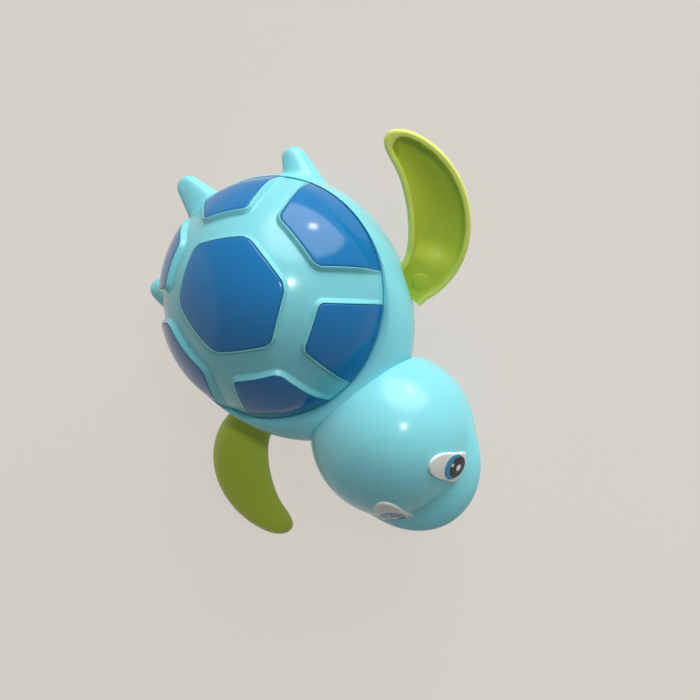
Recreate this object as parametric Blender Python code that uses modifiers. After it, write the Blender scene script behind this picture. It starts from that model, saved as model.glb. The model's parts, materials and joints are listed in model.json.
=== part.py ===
"""Clockwork swimming turtle for the bath, built from its separate mouldings.

Metres, +Z up. The origin is the centre of the flat belly, the head points to -Y
and the turtle's left side to +X.
"""

import math

import bmesh
import bpy
from mathutils import Matrix, Vector
from mathutils.geometry import interpolate_bezier

MM = 0.001

# Facets round the large mouldings, round bosses and bearings, and round screws
STEPS = 28
ROUND_SIDES = 16
SMALL_SIDES = 8

# Clearances
SEAT_GAP = 0.30 * MM
RUN_GAP = 0.30 * MM
BACKLASH = 0.16 * MM

# Shell dome and the plates on it
RIM_Z = 35.5 * MM
RIM_RADIUS = 30.9 * MM
DOME_HEIGHT = 0.7055 * RIM_RADIUS
DOME_POWER = 0.66
SHELL_WALL = 1.5 * MM
LINER_WALL = 1.2 * MM
DOME_FOOT = 2.0 * MM
PLATE_RISE = 1.3 * MM
PLATE_LIP = 0.5 * MM
PLATE_SLOPE = 0.7 * MM
PLATE_CORNER = 1.8 * MM
WINDOW_FOOT = 0.25 * MM
TRIM_INSET = 0.05 * MM
HEX_FRONT = 0.4887 * RIM_RADIUS
HEX_SIDE_X = 0.3819 * RIM_RADIUS
HEX_SIDE_Y = 0.2395 * RIM_RADIUS
SIDE_PLATE_X = 0.6570 * RIM_RADIUS
SIDE_PLATE_Y = 0.2492 * RIM_RADIUS
END_PLATE_X1 = 0.1553 * RIM_RADIUS
END_PLATE_Y1 = 0.6893 * RIM_RADIUS
END_PLATE_X2 = 0.4822 * RIM_RADIUS
END_PLATE_Y2 = 0.5016 * RIM_RADIUS
SIDE_RIM_ANGLE = 29.2
END_RIM_ANGLE_1 = 43.5
END_RIM_ANGLE_2 = 82.5

# Hull: a bowl on a flat belly, longer in front and cut flat where the head joins
HULL_WALL = 1.8 * MM
HULL_HALF_WIDTH = RIM_RADIUS + 1.6 * MM
HULL_BACK_LENGTH = HULL_HALF_WIDTH + 2.3 * MM
HULL_FRONT_LENGTH = HULL_HALF_WIDTH + 6.1 * MM
HULL_SHIFT = 2.0 * MM
HEAD_FACE_Y = -HULL_HALF_WIDTH - 2.0 * MM
SHOULDER_DROP = 8.0 * MM
CREST_DROP = 0.9 * MM
CREST_ROUND = 0.25 * MM
BOWL_POWER = 1.9
BELLY_FLAT_RADIUS = 14.0 * MM
SEAM_Z = 12.0 * MM
SEAM_TONGUE = 1.5 * MM
TONGUE_WALL = 1.2 * MM
LEDGE_RADIUS = RIM_RADIUS - 9.4 * MM
LEDGE_DROP = 2.3 * MM
LEDGE_THICKNESS = 1.5 * MM

# Tail and rear feet, each a rounded cone
TAIL_BASE = Vector((-0.6 * MM, HULL_HALF_WIDTH - 0.5 * MM, 29.5 * MM))
TAIL_BASE_RADIUS = 6.2 * MM
TAIL_TIP = TAIL_BASE + Vector((0.0, 7.6 * MM, 1.3 * MM))
TAIL_TIP_RADIUS = 3.1 * MM
FOOT_BASE = Vector((HULL_HALF_WIDTH - 9.0 * MM, HULL_HALF_WIDTH - 14.5 * MM, 26.0 * MM))
FOOT_BASE_RADIUS = 6.4 * MM
FOOT_TIP = FOOT_BASE + Vector((2.7 * MM, 7.6 * MM, 1.4 * MM))
FOOT_TIP_RADIUS = 3.2 * MM

# Head
HEAD_RADIUS = 21.3 * MM
HEAD_CENTRE = Vector((0.0, HEAD_FACE_Y - HEAD_RADIUS + 10.1 * MM, 21.7 * MM))
HEAD_WALL = 2.2 * MM
NECK_RADIUS = 8.0 * MM
NECK_WALL = 1.6 * MM
NECK_END_Y = HEAD_FACE_Y + 4.3 * MM
MUZZLE_CENTRE = HEAD_CENTRE + Vector((0.0, -4.8 * MM, 0.9 * MM))
MUZZLE_HALF_WIDTH = HEAD_RADIUS - 1.9 * MM
MUZZLE_HALF_LENGTH = HEAD_RADIUS + 1.0 * MM
MUZZLE_RISE = 6.4 * MM
MUZZLE_FALL = 13.0 * MM
MUZZLE_SQUARENESS = 2.0
MUZZLE_WALL = 1.8 * MM

# Eyes: an arch drawn on the head's ball in degrees, the left one
EYE_MIDDLE = (30.0, 22.0)
EYE_PROUD = 0.7 * MM
EYE_DEPTH = 1.0 * MM
EYE_OUTLINE = ((41, 14), (41.5, 22), (41, 31), (38.5, 38), (34, 42), (29.5, 43), (24.5, 40.5),
               (21.5, 35), (20, 27), (19.2, 19), (19.5, 12), (21.5, 6.5), (25, 3.5), (33, 9))

# Flipper shaft, its bushes and the bosses that hold them
SHAFT_Y = -18.3 * MM
SHAFT_Z = 19.2 * MM
SHAFT_RADIUS = 1.6 * MM
SHAFT_SQUARE = 1.8 * MM
BOSS_RADIUS = 4.4 * MM
BOSS_END_X = HULL_HALF_WIDTH - 7.1 * MM
BOSS_START_X = BOSS_END_X - 3.4 * MM
SHAFT_HALF_LENGTH = BOSS_END_X + 5.8 * MM
FLIPPER_SEAT_RADIUS = 7.1 * MM
BUSH_RADIUS = 3.0 * MM
BUSH_FLANGE_RADIUS = 4.2 * MM
BUSH_FLANGE = 0.9 * MM

# Flippers: hollow paddles on a curved centre line, the left one
FLIPPER_ANGLE = 31.8
FLIPPER_ROOT_X = BOSS_END_X + 3.4 * MM
FLIPPER_ROOT = (FLIPPER_ROOT_X, 0.2 * MM)
FLIPPER_BEND_1 = (FLIPPER_ROOT_X + 14.4 * MM, -1.85 * MM)
FLIPPER_BEND_2 = (FLIPPER_ROOT_X + 27.1 * MM, 19.4 * MM)
FLIPPER_TIP = (FLIPPER_ROOT_X + 20.7 * MM, 32.4 * MM)
FLIPPER_ROOT_HALF = 5.95 * MM
FLIPPER_TIP_HALF = 3.0 * MM
FLIPPER_SWELL = 3.27 * MM
FLIPPER_TIP_START = 0.86
FLIPPER_RIM = 1.4 * MM
FLIPPER_RIM_RISE = 1.0 * MM
FLIPPER_DEPTH = 3.6 * MM
FLIPPER_WALL = 1.3 * MM
HOLLOW_START = 0.14
HOLLOW_FULL = 0.30
FLIPPER_STATIONS = 14
HUB_DROP = 1.9 * MM
HUB_RADIUS = 1.9 * MM
HUB_LENGTH = 6.8 * MM

# Gear train
GEAR_MODULE = 0.7 * MM
PRESSURE_ANGLE = 25.0
ADDENDUM = 0.8
DEDENDUM = 1.1
PINION_TEETH = 12
IDLER_TEETH = 28
MAIN_TEETH = 34
GEAR_WIDTH = 2.0 * MM
SHAFT_GEAR_X = -4.0 * MM
MAIN_GEAR_X = -0.6 * MM
IDLER_Y = -5.4 * MM
IDLER_HUB_RADIUS = 3.2 * MM
PIN_RADIUS = 1.0 * MM
ARBOR_RADIUS = 2.2 * MM
ARBOR_NECK_RADIUS = 1.2 * MM

# Mainspring
SPRING_TURNS = 5.5
SPRING_OUTER_RADIUS = 10.6 * MM
SPRING_THICKNESS = 0.35 * MM
SPRING_WIDTH = 5.0 * MM
SPRING_X = 4.6 * MM
SPRING_POINTS = 10

# Gearbox
BOX_WALL = 1.2 * MM
BOX_LOW_X = -6.8 * MM
BOX_HIGH_X = 9.2 * MM
BOX_SHAFT_RADIUS = 8.4 * MM
BOX_MARGIN = 0.8 * MM
BOX_SIDES = 18
COVER_THICKNESS = 1.4 * MM
EAR_STEP = 0.15 * MM
BOX_FOOT_HALF_WIDTH = 2.7 * MM
BOX_FOOT_REACH = 5.1 * MM
BOX_FOOT_Y = 8.4 * MM
BOX_FOOT_THICKNESS = 1.5 * MM
BOX_SCREW_PLACES = ((-26.0 * MM, 19.2 * MM), (-6.0 * MM, 11.0 * MM), (4.0 * MM, 33.5 * MM))

# Screws
SCREW_RADIUS = 1.1 * MM
SCREW_HEAD_RADIUS = 2.0 * MM
SCREW_HEAD = 1.1 * MM
SCREW_BOSS_RADIUS = 2.3 * MM
BOX_SCREW_LENGTH = 8.0 * MM
FOOT_SCREW_LENGTH = 3.4 * MM
BELLY_SCREW_RADIUS = HULL_HALF_WIDTH - 11.7 * MM
BELLY_SCREW_ANGLES = (51.0, 129.0, 185.0, 355.0)
BELLY_HEAD_Z = 6.9 * MM
BELLY_SCREW_LENGTH = 8.0 * MM
WELL_WALL = 1.2 * MM
WELL_FLOOR = 1.4 * MM

TURQUOISE = (0.33, 0.78, 0.80)
BLUE = (0.01, 0.14, 0.47)
LIME = (0.53, 0.76, 0.05)
WHITE = (0.85, 0.86, 0.84)
STEEL = (0.62, 0.62, 0.64)
SPRING_STEEL = (0.30, 0.30, 0.33)
ACETAL = (0.80, 0.79, 0.74)
GEARBOX_GREY = (0.42, 0.43, 0.45)

AXIS_X = Vector((1.0, 0.0, 0.0))
AXIS_Y = Vector((0.0, 1.0, 0.0))
AXIS_Z = Vector((0.0, 0.0, 1.0))
SHAFT_POINT = Vector((0.0, SHAFT_Y, SHAFT_Z))


def clear_scene():
    for obj in list(bpy.data.objects):
        bpy.data.objects.remove(obj)


def new_collection(name):
    collection = bpy.data.collections.new(name)
    bpy.context.scene.collection.children.link(collection)
    return collection


def new_material(name, colour, roughness, metallic=0.0):
    material = bpy.data.materials.new(name)
    material.use_nodes = True
    shader = material.node_tree.nodes["Principled BSDF"]
    shader.inputs["Base Color"].default_value = (*colour, 1.0)
    shader.inputs["Roughness"].default_value = roughness
    shader.inputs["Metallic"].default_value = metallic
    material.diffuse_color = (*colour, 1.0)
    return material


clear_scene()
TURTLE = new_collection("bath_toy_turtle")
CUTTERS = new_collection("cutters")


def object_from(name, bm, guide=False, location=(0.0, 0.0, 0.0)):
    """Write a bmesh to a new object and free it."""
    bmesh.ops.recalc_face_normals(bm, faces=bm.faces)
    mesh = bpy.data.meshes.new(name)
    bm.to_mesh(mesh)
    bm.free()
    obj = bpy.data.objects.new(name, mesh)
    obj.location = location
    if guide:
        CUTTERS.objects.link(obj)
        obj.hide_render = True
        obj.display_type = "WIRE"
    else:
        TURTLE.objects.link(obj)
    return obj


def finish(obj, material, angle=35.0):
    """Give a piece its material and smooth shading with sharp corners."""
    obj.data.materials.append(material)
    obj.data.shade_smooth()
    obj.data.set_sharp_from_angle(angle=math.radians(angle))
    return obj


def boolean(obj, other, operation):
    modifier = obj.modifiers.new(operation.lower() + "_" + other.name, "BOOLEAN")
    modifier.object = other
    modifier.operation = operation
    modifier.solver = "EXACT"
    return obj


def cut(obj, *others):
    for other in others:
        boolean(obj, other, "DIFFERENCE")
    return obj


def join(obj, *others):
    for other in others:
        boolean(obj, other, "UNION")
    return obj


def clip(obj, other):
    return boolean(obj, other, "INTERSECT")


def profile_edges(bm, verts):
    """Join a closed profile's points, but not along the axis."""
    for i, vert in enumerate(verts):
        following = verts[(i + 1) % len(verts)]
        if vert.co.x > 0 or following.co.x > 0:
            bm.edges.new((vert, following))


def turned(name, profile, guide=False):
    """Closed profile of (radius, height) at +X, turned about Z; its outer side runs down."""
    bm = bmesh.new()
    profile_edges(bm, [bm.verts.new((radius, 0.0, height)) for radius, height in profile])
    obj = object_from(name, bm, guide)
    screw = obj.modifiers.new("turn", "SCREW")
    screw.angle = math.tau
    screw.steps = STEPS
    screw.render_steps = STEPS
    screw.use_merge_vertices = True
    screw.merge_threshold = 0.00001
    return obj


def cylinder(name, radius, start, end, sides=ROUND_SIDES, guide=True, location=(0.0, 0.0, 0.0)):
    """Closed cylinder from one point to another."""
    start, end = Vector(start), Vector(end)
    along = end - start
    turn = along.to_track_quat("Z", "Y").to_matrix().to_4x4()
    bm = bmesh.new()
    bmesh.ops.create_cone(bm, cap_ends=True, segments=sides, radius1=radius, radius2=radius,
                          depth=along.length, matrix=Matrix.Translation((start + end) / 2) @ turn)
    return object_from(name, bm, guide, location)


def block(name, low, high, guide=True, location=(0.0, 0.0, 0.0)):
    low, high = Vector(low), Vector(high)
    place = Matrix.Translation((low + high) / 2) @ Matrix.Diagonal((*(high - low), 1.0))
    bm = bmesh.new()
    bmesh.ops.create_cube(bm, size=1.0, matrix=place)
    return object_from(name, bm, guide, location)


def ball(name, centre, radius, segments, rings, guide=True):
    """Sphere whose poles lie fore and aft."""
    bm = bmesh.new()
    place = Matrix.Translation(centre) @ Matrix.Rotation(math.pi / 2, 4, "X")
    bmesh.ops.create_uvsphere(bm, u_segments=segments, v_segments=rings, radius=radius, matrix=place)
    return object_from(name, bm, guide)


def wrap(bm):
    """Keep only the convex hull of a bmesh's points."""
    hull = bmesh.ops.convex_hull(bm, input=bm.verts[:])
    spare = set(hull["geom_interior"]) | set(hull["geom_unused"])
    loose = [item for item in spare if isinstance(item, bmesh.types.BMVert)]
    bmesh.ops.delete(bm, geom=loose, context="VERTS")
    bmesh.ops.dissolve_limit(bm, angle_limit=math.radians(0.5), verts=bm.verts[:], edges=bm.edges[:])


def rounded_cone(name, base, base_radius, tip, tip_radius):
    """Hull of two balls: a cone with round ends."""
    bm = bmesh.new()
    turn = Matrix.Rotation(math.pi / 2, 4, "X")
    for centre, radius in ((base, base_radius), (tip, tip_radius)):
        bmesh.ops.create_uvsphere(bm, u_segments=12, v_segments=7, radius=radius,
                                  matrix=Matrix.Translation(centre) @ turn)
    wrap(bm)
    return object_from(name, bm, guide=True)


def bezier(points, count):
    corners = [Vector((x, y, 0.0)) for x, y in points]
    return [(p.x, p.y) for p in interpolate_bezier(*corners, count)]


def offset_inwards(line, distance):
    """Move an open line of (radius, height) sideways, towards the axis on a downward line."""
    moved = []
    last = len(line) - 1
    for i, (radius, height) in enumerate(line):
        r0, z0 = line[max(i - 1, 0)]
        r1, z1 = line[min(i + 1, last)]
        length = math.hypot(r1 - r0, z1 - z0)
        moved.append((radius + (z1 - z0) / length * distance, height - (r1 - r0) / length * distance))
    return moved


def bowl_depth():
    """Depth at which the bowl's curve would close, so that the belly flat has its radius."""
    share = (BELLY_FLAT_RADIUS / HULL_HALF_WIDTH) ** BOWL_POWER
    return (RIM_Z - SHOULDER_DROP) / (1.0 - share) ** (1.0 / BOWL_POWER)


def bowl_radius(height):
    fall = max(0.0, RIM_Z - SHOULDER_DROP - height) / bowl_depth()
    return HULL_HALF_WIDTH * (1.0 - fall ** BOWL_POWER) ** (1.0 / BOWL_POWER)


def hull_side(start_z, end_z, count):
    """Outer side of the hull between two heights, running down, closer set towards the belly."""
    line = []
    for i in range(count + 1):
        height = end_z + (start_z - end_z) * (1.0 - i / count) ** 1.4
        line.append((bowl_radius(height), height))
    return line


def placed(line, share, inset):
    """Add to a line of (radius, height) its share of the hull's plan and its wall inset."""
    return [(radius, height, share, inset) for radius, height in line]


def hull_shaped(name, profile, guide=False):
    """Turn a profile of (radius, height, share, inset) and draw it out to the hull's plan.

    share is 0 where the moulding stays round under the dome and 1 where it follows
    the hull; inset is how far a point keeps behind the flat that the head joins.
    """
    bm = bmesh.new()
    follow = bm.verts.layers.float.new("follow")
    behind = bm.verts.layers.float.new("behind")
    verts = []
    for radius, height, share, inset in profile:
        vert = bm.verts.new((radius, 0.0, height))
        vert[follow] = share
        vert[behind] = inset
        verts.append(vert)
    profile_edges(bm, verts)
    bmesh.ops.spin(bm, geom=bm.verts[:] + bm.edges[:], cent=(0, 0, 0), axis=AXIS_Z,
                   angle=math.tau, steps=STEPS, use_merge=True)
    bmesh.ops.remove_doubles(bm, verts=bm.verts, dist=1e-7)
    for vert in bm.verts:
        length = HULL_FRONT_LENGTH if vert.co.y < 0 else HULL_BACK_LENGTH
        stretch = 1.0 + (length / HULL_HALF_WIDTH - 1.0) * vert[follow]
        shift = HULL_SHIFT * vert[follow] * vert.co.z / RIM_Z
        vert.co.y = max(HEAD_FACE_Y + vert[behind], vert.co.y * stretch - shift)
    return object_from(name, bm, guide)


def hull_solid(name, inset, top):
    """The hull's outer form moved inwards by an inset, closed, up to a height."""
    line = offset_inwards(hull_side(top, 0.0, 6), inset)
    profile = [(0.0, line[0][1])] + line + [(0.0, line[-1][1])]
    return hull_shaped(name, placed(profile, 1.0, inset), guide=True)


def dome_height(radius):
    share = min(1.0, radius / RIM_RADIUS)
    return DOME_HEIGHT * (1.0 - share * share) ** DOME_POWER


def dome_line(offset, count=6):
    """Outline of the dome from its top down to the rim plane, moved out by an offset."""
    line = []
    for i in range(count + 1):
        radius = RIM_RADIUS * math.sin(math.pi / 2 * i / count)
        line.append((radius, RIM_Z + dome_height(radius)))
    moved = offset_inwards(line, -offset)
    return [(0.0, moved[0][1])] + moved[1:-1] + [(RIM_RADIUS + offset, RIM_Z)]


DOME_FOCUS = Vector((0.0, 0.0, RIM_Z + (DOME_HEIGHT ** 2 - RIM_RADIUS ** 2) / (2 * DOME_HEIGHT)))


def on_dome(x, y):
    return Vector((x, y, RIM_Z + dome_height(math.hypot(x, y))))


def on_rim(angle, lift):
    turn = math.radians(angle)
    return Vector((RIM_RADIUS * math.cos(turn), RIM_RADIUS * math.sin(turn), RIM_Z + lift))


def plate_outlines(rim_lift):
    """Corner points of the seven plates, each in order round its plate."""
    hexagon = [on_dome(0, HEX_FRONT), on_dome(-HEX_SIDE_X, HEX_SIDE_Y), on_dome(-HEX_SIDE_X, -HEX_SIDE_Y),
               on_dome(0, -HEX_FRONT), on_dome(HEX_SIDE_X, -HEX_SIDE_Y), on_dome(HEX_SIDE_X, HEX_SIDE_Y)]
    outlines = {"middle": hexagon}
    for side, sx in (("left", 1), ("right", -1)):
        angles = (-SIDE_RIM_ANGLE, -SIDE_RIM_ANGLE / 3, SIDE_RIM_ANGLE / 3, SIDE_RIM_ANGLE)
        rim = [on_rim(angle, rim_lift) for angle in angles]
        points = rim + [on_dome(SIDE_PLATE_X, SIDE_PLATE_Y), on_dome(SIDE_PLATE_X, -SIDE_PLATE_Y)]
        outlines[side] = [Vector((sx * p.x, p.y, p.z)) for p in points]
        for end, sy in (("front", -1), ("back", 1)):
            span = END_RIM_ANGLE_2 - END_RIM_ANGLE_1
            rim = [on_rim(END_RIM_ANGLE_1 + span * i / 3, rim_lift) for i in range(4)]
            points = rim + [on_dome(END_PLATE_X1, END_PLATE_Y1), on_dome(END_PLATE_X2, END_PLATE_Y2)]
            outlines[end + "_" + side] = [Vector((sx * p.x, sy * p.y, p.z)) for p in points]
    return outlines


def plate_prism(name, points, grow, low, high):
    """Prism with sides aimed at the dome's focus, its outline grown sideways.

    low and high are shares of the distance from the focus.
    """
    centre = sum(points, Vector()) / len(points)
    outward = (centre - DOME_FOCUS).normalized()
    flat = []
    for p in points:
        ray = (p - DOME_FOCUS).normalized()
        flat.append(DOME_FOCUS + ray * (centre - DOME_FOCUS).length / ray.dot(outward))
    middle = sum(flat, Vector()) / len(flat)
    count = len(flat)
    grown = []
    for i, p in enumerate(flat):
        before = (p - flat[i - 1]).normalized()
        after = (flat[(i + 1) % count] - p).normalized()
        side_a = before.cross(outward)
        side_b = after.cross(outward)
        if side_a.dot(p - middle) < 0:
            side_a, side_b = -side_a, -side_b
        bisector = (side_a + side_b).normalized()
        grown.append(p + bisector * grow / max(0.4, bisector.dot(side_a)))
    bm = bmesh.new()
    rings = []
    for share in (low, high):
        rings.append([bm.verts.new(DOME_FOCUS + (p - DOME_FOCUS) * share) for p in grown])
    for ring in rings:
        bm.faces.new(ring)
    for i in range(count):
        bm.faces.new((rings[0][i - 1], rings[0][i], rings[1][i], rings[1][i - 1]))
    bmesh.ops.recalc_face_normals(bm, faces=bm.faces)
    sides = [bm.edges.get((rings[0][i], rings[1][i])) for i in range(count)]
    sharp = [edge for edge in sides if edge.calc_face_angle() > math.radians(25)]
    bmesh.ops.bevel(bm, geom=sharp, offset=PLATE_CORNER, segments=2, profile=0.5,
                    affect="EDGES", material=-1)
    return object_from(name, bm, guide=True)


def crown_profile(rise, depth):
    """Closed profile between the dome raised by rise and the dome sunk by depth."""
    return dome_line(rise) + dome_line(-depth, 4)[::-1]


def rim_trim():
    """Upright wall at which the plates end, just inside the collar's groove."""
    return cylinder("rim_trim", RIM_RADIUS - TRIM_INSET, (0, 0, 0), (0, 0, RIM_Z + 2 * DOME_HEIGHT),
                    sides=STEPS)


def build_carapace(material):
    """Lattice of ribs with a raised bezel round each of the seven windows."""
    foot_z = RIM_Z - DOME_FOOT
    over = RIM_RADIUS + PLATE_RISE
    foot = [(over, RIM_Z - TRIM_INSET), (over, foot_z), (RIM_RADIUS - SHELL_WALL, foot_z)]
    shell = turned("carapace", dome_line(0.0)[:-1] + foot + dome_line(-SHELL_WALL)[::-1])
    for plate, points in plate_outlines(-DOME_FOOT).items():
        island = turned("island_" + plate, crown_profile(PLATE_RISE, SHELL_WALL / 2), guide=True)
        clip(island, plate_prism("bezel_" + plate, points, PLATE_LIP + PLATE_SLOPE / 2, 0.6, 1.4))
        join(shell, island)
    clip(shell, rim_trim())
    for plate, points in plate_outlines(WINDOW_FOOT).items():
        cut(shell, plate_prism("window_" + plate, points, 0.0, 0.5, 1.5))
    return finish(shell, material)


def build_scute_liner(material):
    """Blue inner dome whose seven pads come up through the windows."""
    foot_z = RIM_Z - DOME_FOOT
    outside = SHELL_WALL + SEAT_GAP
    inside = outside + LINER_WALL
    foot = [(RIM_RADIUS - outside, foot_z), (RIM_RADIUS - inside, foot_z)]
    trim = rim_trim()
    liner = turned("scute_liner", dome_line(-outside) + foot + dome_line(-inside, 4)[::-1])
    for plate, points in plate_outlines(WINDOW_FOOT).items():
        pad = turned("pad_" + plate, crown_profile(PLATE_RISE, outside + LINER_WALL / 2), guide=True)
        clip(pad, plate_prism("pad_sides_" + plate, points, -SEAT_GAP, 0.5, 1.5))
        clip(pad, trim)
        join(liner, pad)
    return finish(liner, material)


def collar_line():
    """Rounded collar from the groove's wall over the crest to the hull's shoulder."""
    groove_radius = RIM_RADIUS + SEAT_GAP
    width = HULL_HALF_WIDTH - groove_radius
    shoulder = RIM_Z - SHOULDER_DROP
    crest = (groove_radius + 0.25 * width, RIM_Z - CREST_DROP)
    line = [(groove_radius, RIM_Z - 0.6 * LEDGE_DROP),
            (groove_radius + 0.1 * width, crest[1] - CREST_ROUND)]
    line += bezier((crest, (groove_radius + 0.5 * width, crest[1]),
                    (HULL_HALF_WIDTH, shoulder + SHOULDER_DROP / 2), (HULL_HALF_WIDTH, shoulder)), 4)
    return [(radius, height, (radius - groove_radius) / width, 0.0) for radius, height in line]


def belly_screw_places():
    places = []
    for angle in BELLY_SCREW_ANGLES:
        turn = math.radians(angle)
        places.append((BELLY_SCREW_RADIUS * math.cos(turn), BELLY_SCREW_RADIUS * math.sin(turn)))
    return places


def well_top():
    """Height of the solid floor that each belly screw clamps."""
    return BELLY_HEAD_Z + SCREW_HEAD + WELL_FLOOR


def build_upper_body(material):
    """Sides of the hull with the collar, the tail, the rear feet and the neck opening."""
    seam = SEAM_Z + SEAT_GAP / 2
    ledge_top = RIM_Z - LEDGE_DROP
    ledge_under = ledge_top - LEDGE_THICKNESS
    side = hull_side(RIM_Z - SHOULDER_DROP, seam, 3)
    inner = offset_inwards(hull_side(ledge_under - HULL_WALL, seam, 3), HULL_WALL)
    inner[-1] = (side[-1][0] - HULL_WALL, seam)
    ledge = [(LEDGE_RADIUS, ledge_under), (LEDGE_RADIUS, ledge_top), (RIM_RADIUS + SEAT_GAP, ledge_top)]
    profile = collar_line() + placed(side[1:], 1.0, 0.0) + placed(inner[::-1], 1.0, HULL_WALL)
    body = hull_shaped("upper_body", profile + placed(ledge, 0.0, HULL_WALL))
    cavity = hull_solid("hull_cavity", HULL_WALL, RIM_Z)
    nubs = [rounded_cone("tail", TAIL_BASE, TAIL_BASE_RADIUS, TAIL_TIP, TAIL_TIP_RADIUS)]
    for side_name, sx in (("left", 1), ("right", -1)):
        base, tip = [Vector((sx * p.x, p.y, p.z)) for p in (FOOT_BASE, FOOT_TIP)]
        nubs.append(rounded_cone("foot_" + side_name, base, FOOT_BASE_RADIUS, tip, FOOT_TIP_RADIUS))
    groove = cylinder("collar_groove", RIM_RADIUS + 2 * SEAT_GAP, (0, 0, ledge_top - LEDGE_THICKNESS / 2),
                      (0, 0, 2 * RIM_Z), sides=STEPS)
    for nub in nubs:
        join(body, cut(nub, cavity, groove))
    limit = hull_solid("flipper_seat_limit", HULL_WALL / 2, RIM_Z - LEDGE_DROP)
    below = block("below_flipper_seats", (-2 * BOSS_END_X, HEAD_FACE_Y, 0.0),
                  (2 * BOSS_END_X, 0.0, SEAM_Z + SEAM_TONGUE + SEAT_GAP))
    for sx in (1, -1):
        cup = cylinder("flipper_seat", FLIPPER_SEAT_RADIUS + HULL_WALL,
                       (sx * (BOSS_END_X - HULL_WALL), SHAFT_Y, SHAFT_Z),
                       (sx * 2 * BOSS_END_X, SHAFT_Y, SHAFT_Z))
        join(body, cut(clip(cup, limit), below))
        cut(body, cylinder("flipper_seat_hole", FLIPPER_SEAT_RADIUS, (sx * BOSS_END_X, SHAFT_Y, SHAFT_Z),
                           (sx * 3 * BOSS_END_X, SHAFT_Y, SHAFT_Z), sides=24))
        join(body, cylinder("shaft_boss", BOSS_RADIUS, (sx * BOSS_START_X, SHAFT_Y, SHAFT_Z),
                            (sx * BOSS_END_X, SHAFT_Y, SHAFT_Z)))
        cut(body, cylinder("bush_hole", BUSH_RADIUS + SEAT_GAP, (sx * (BOSS_START_X - MM), SHAFT_Y, SHAFT_Z),
                           (sx * 2 * BOSS_END_X, SHAFT_Y, SHAFT_Z)))
    for x, y in belly_screw_places():
        join(body, cylinder("belly_post", SCREW_BOSS_RADIUS, (x, y, well_top() + SEAT_GAP),
                            (x, y, ledge_under + LEDGE_THICKNESS / 2), sides=SMALL_SIDES))
        cut(body, cylinder("belly_screw_hole", SCREW_RADIUS + SEAT_GAP, (x, y, 0),
                           (x, y, BELLY_HEAD_Z + SCREW_HEAD + BELLY_SCREW_LENGTH + SEAT_GAP),
                           sides=SMALL_SIDES))
    cut(body, cylinder("neck_hole", NECK_RADIUS + SEAT_GAP, HEAD_CENTRE, HEAD_CENTRE + AXIS_Y * HEAD_RADIUS))
    return finish(body, material)


def gear_centres():
    """Centres of the shaft, the idler and the main wheel in the Y-Z plane."""
    shaft = Vector((SHAFT_Y, SHAFT_Z))
    reach = GEAR_MODULE * (PINION_TEETH + IDLER_TEETH) / 2
    idler = Vector((IDLER_Y, SHAFT_Z + math.sqrt(reach ** 2 - (IDLER_Y - SHAFT_Y) ** 2)))
    reach = GEAR_MODULE * (PINION_TEETH + MAIN_TEETH) / 2
    main = Vector((IDLER_Y + math.sqrt(reach ** 2 - (idler.y - SHAFT_Z) ** 2), SHAFT_Z))
    return shaft, idler, main


def tip_radius(teeth):
    return GEAR_MODULE * (teeth / 2 + ADDENDUM)


def box_bottom():
    return gear_centres()[2].y - tip_radius(MAIN_TEETH) - BOX_MARGIN - BOX_WALL


def box_foot_places():
    """Places of the two screws that hold the gearbox to the belly."""
    y = BOX_FOOT_Y
    reach = BOX_FOOT_REACH - BOX_FOOT_HALF_WIDTH
    return ((BOX_LOW_X - reach, y), (BOX_HIGH_X + reach, y))


def foot_screw_top():
    """Underside of the foot screws' heads."""
    return box_bottom() + BOX_FOOT_THICKNESS + SEAT_GAP


def build_lower_body(material):
    """Belly pan with the seam's tongue, the screw wells and the gearbox posts."""
    seam = SEAM_Z - SEAT_GAP / 2
    outer = hull_side(seam, 0.0, 4)
    tongue_radius = outer[0][0] - HULL_WALL - SEAT_GAP
    tongue_top = SEAM_Z + SEAM_TONGUE
    tongue = [(tongue_radius - TONGUE_WALL, SEAM_Z - TONGUE_WALL), (tongue_radius - TONGUE_WALL, tongue_top),
              (tongue_radius, tongue_top), (tongue_radius, seam)]
    inner = offset_inwards(hull_side(SEAM_Z - 2 * HULL_WALL, 0.0, 3), HULL_WALL)
    inner[-1] = (inner[-1][0], HULL_WALL)
    floor = [(0.0, 0.0), (0.0, HULL_WALL)]
    profile = placed(outer + floor, 1.0, 0.0) + placed(inner[::-1], 1.0, HULL_WALL)
    profile += placed(tongue, 1.0, HULL_WALL + SEAT_GAP)
    pan = hull_shaped("lower_body", profile)
    under = hull_solid("screw_well_limit", HULL_WALL / 2, RIM_Z - SHOULDER_DROP)
    for x, y in belly_screw_places():
        well = cylinder("screw_well", SCREW_HEAD_RADIUS + SEAT_GAP + WELL_WALL, (x, y, MM),
                        (x, y, well_top()), sides=12)
        join(pan, clip(well, under))
        cut(pan, cylinder("well_hole", SCREW_HEAD_RADIUS + SEAT_GAP, (x, y, -MM),
                          (x, y, BELLY_HEAD_Z + SCREW_HEAD + SEAT_GAP), sides=12))
        cut(pan, cylinder("well_screw_hole", SCREW_RADIUS + SEAT_GAP, (x, y, 0),
                          (x, y, well_top() + MM), sides=SMALL_SIDES))
    post_top = box_bottom() - SEAT_GAP
    for x, y in box_foot_places():
        join(pan, cylinder("box_post", SCREW_BOSS_RADIUS, (x, y, HULL_WALL / 2), (x, y, post_top),
                           sides=SMALL_SIDES))
        cut(pan, cylinder("box_post_hole", SCREW_RADIUS + SEAT_GAP,
                          (x, y, foot_screw_top() - FOOT_SCREW_LENGTH - SEAT_GAP), (x, y, post_top + MM),
                          sides=SMALL_SIDES))
    return finish(pan, material)


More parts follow.
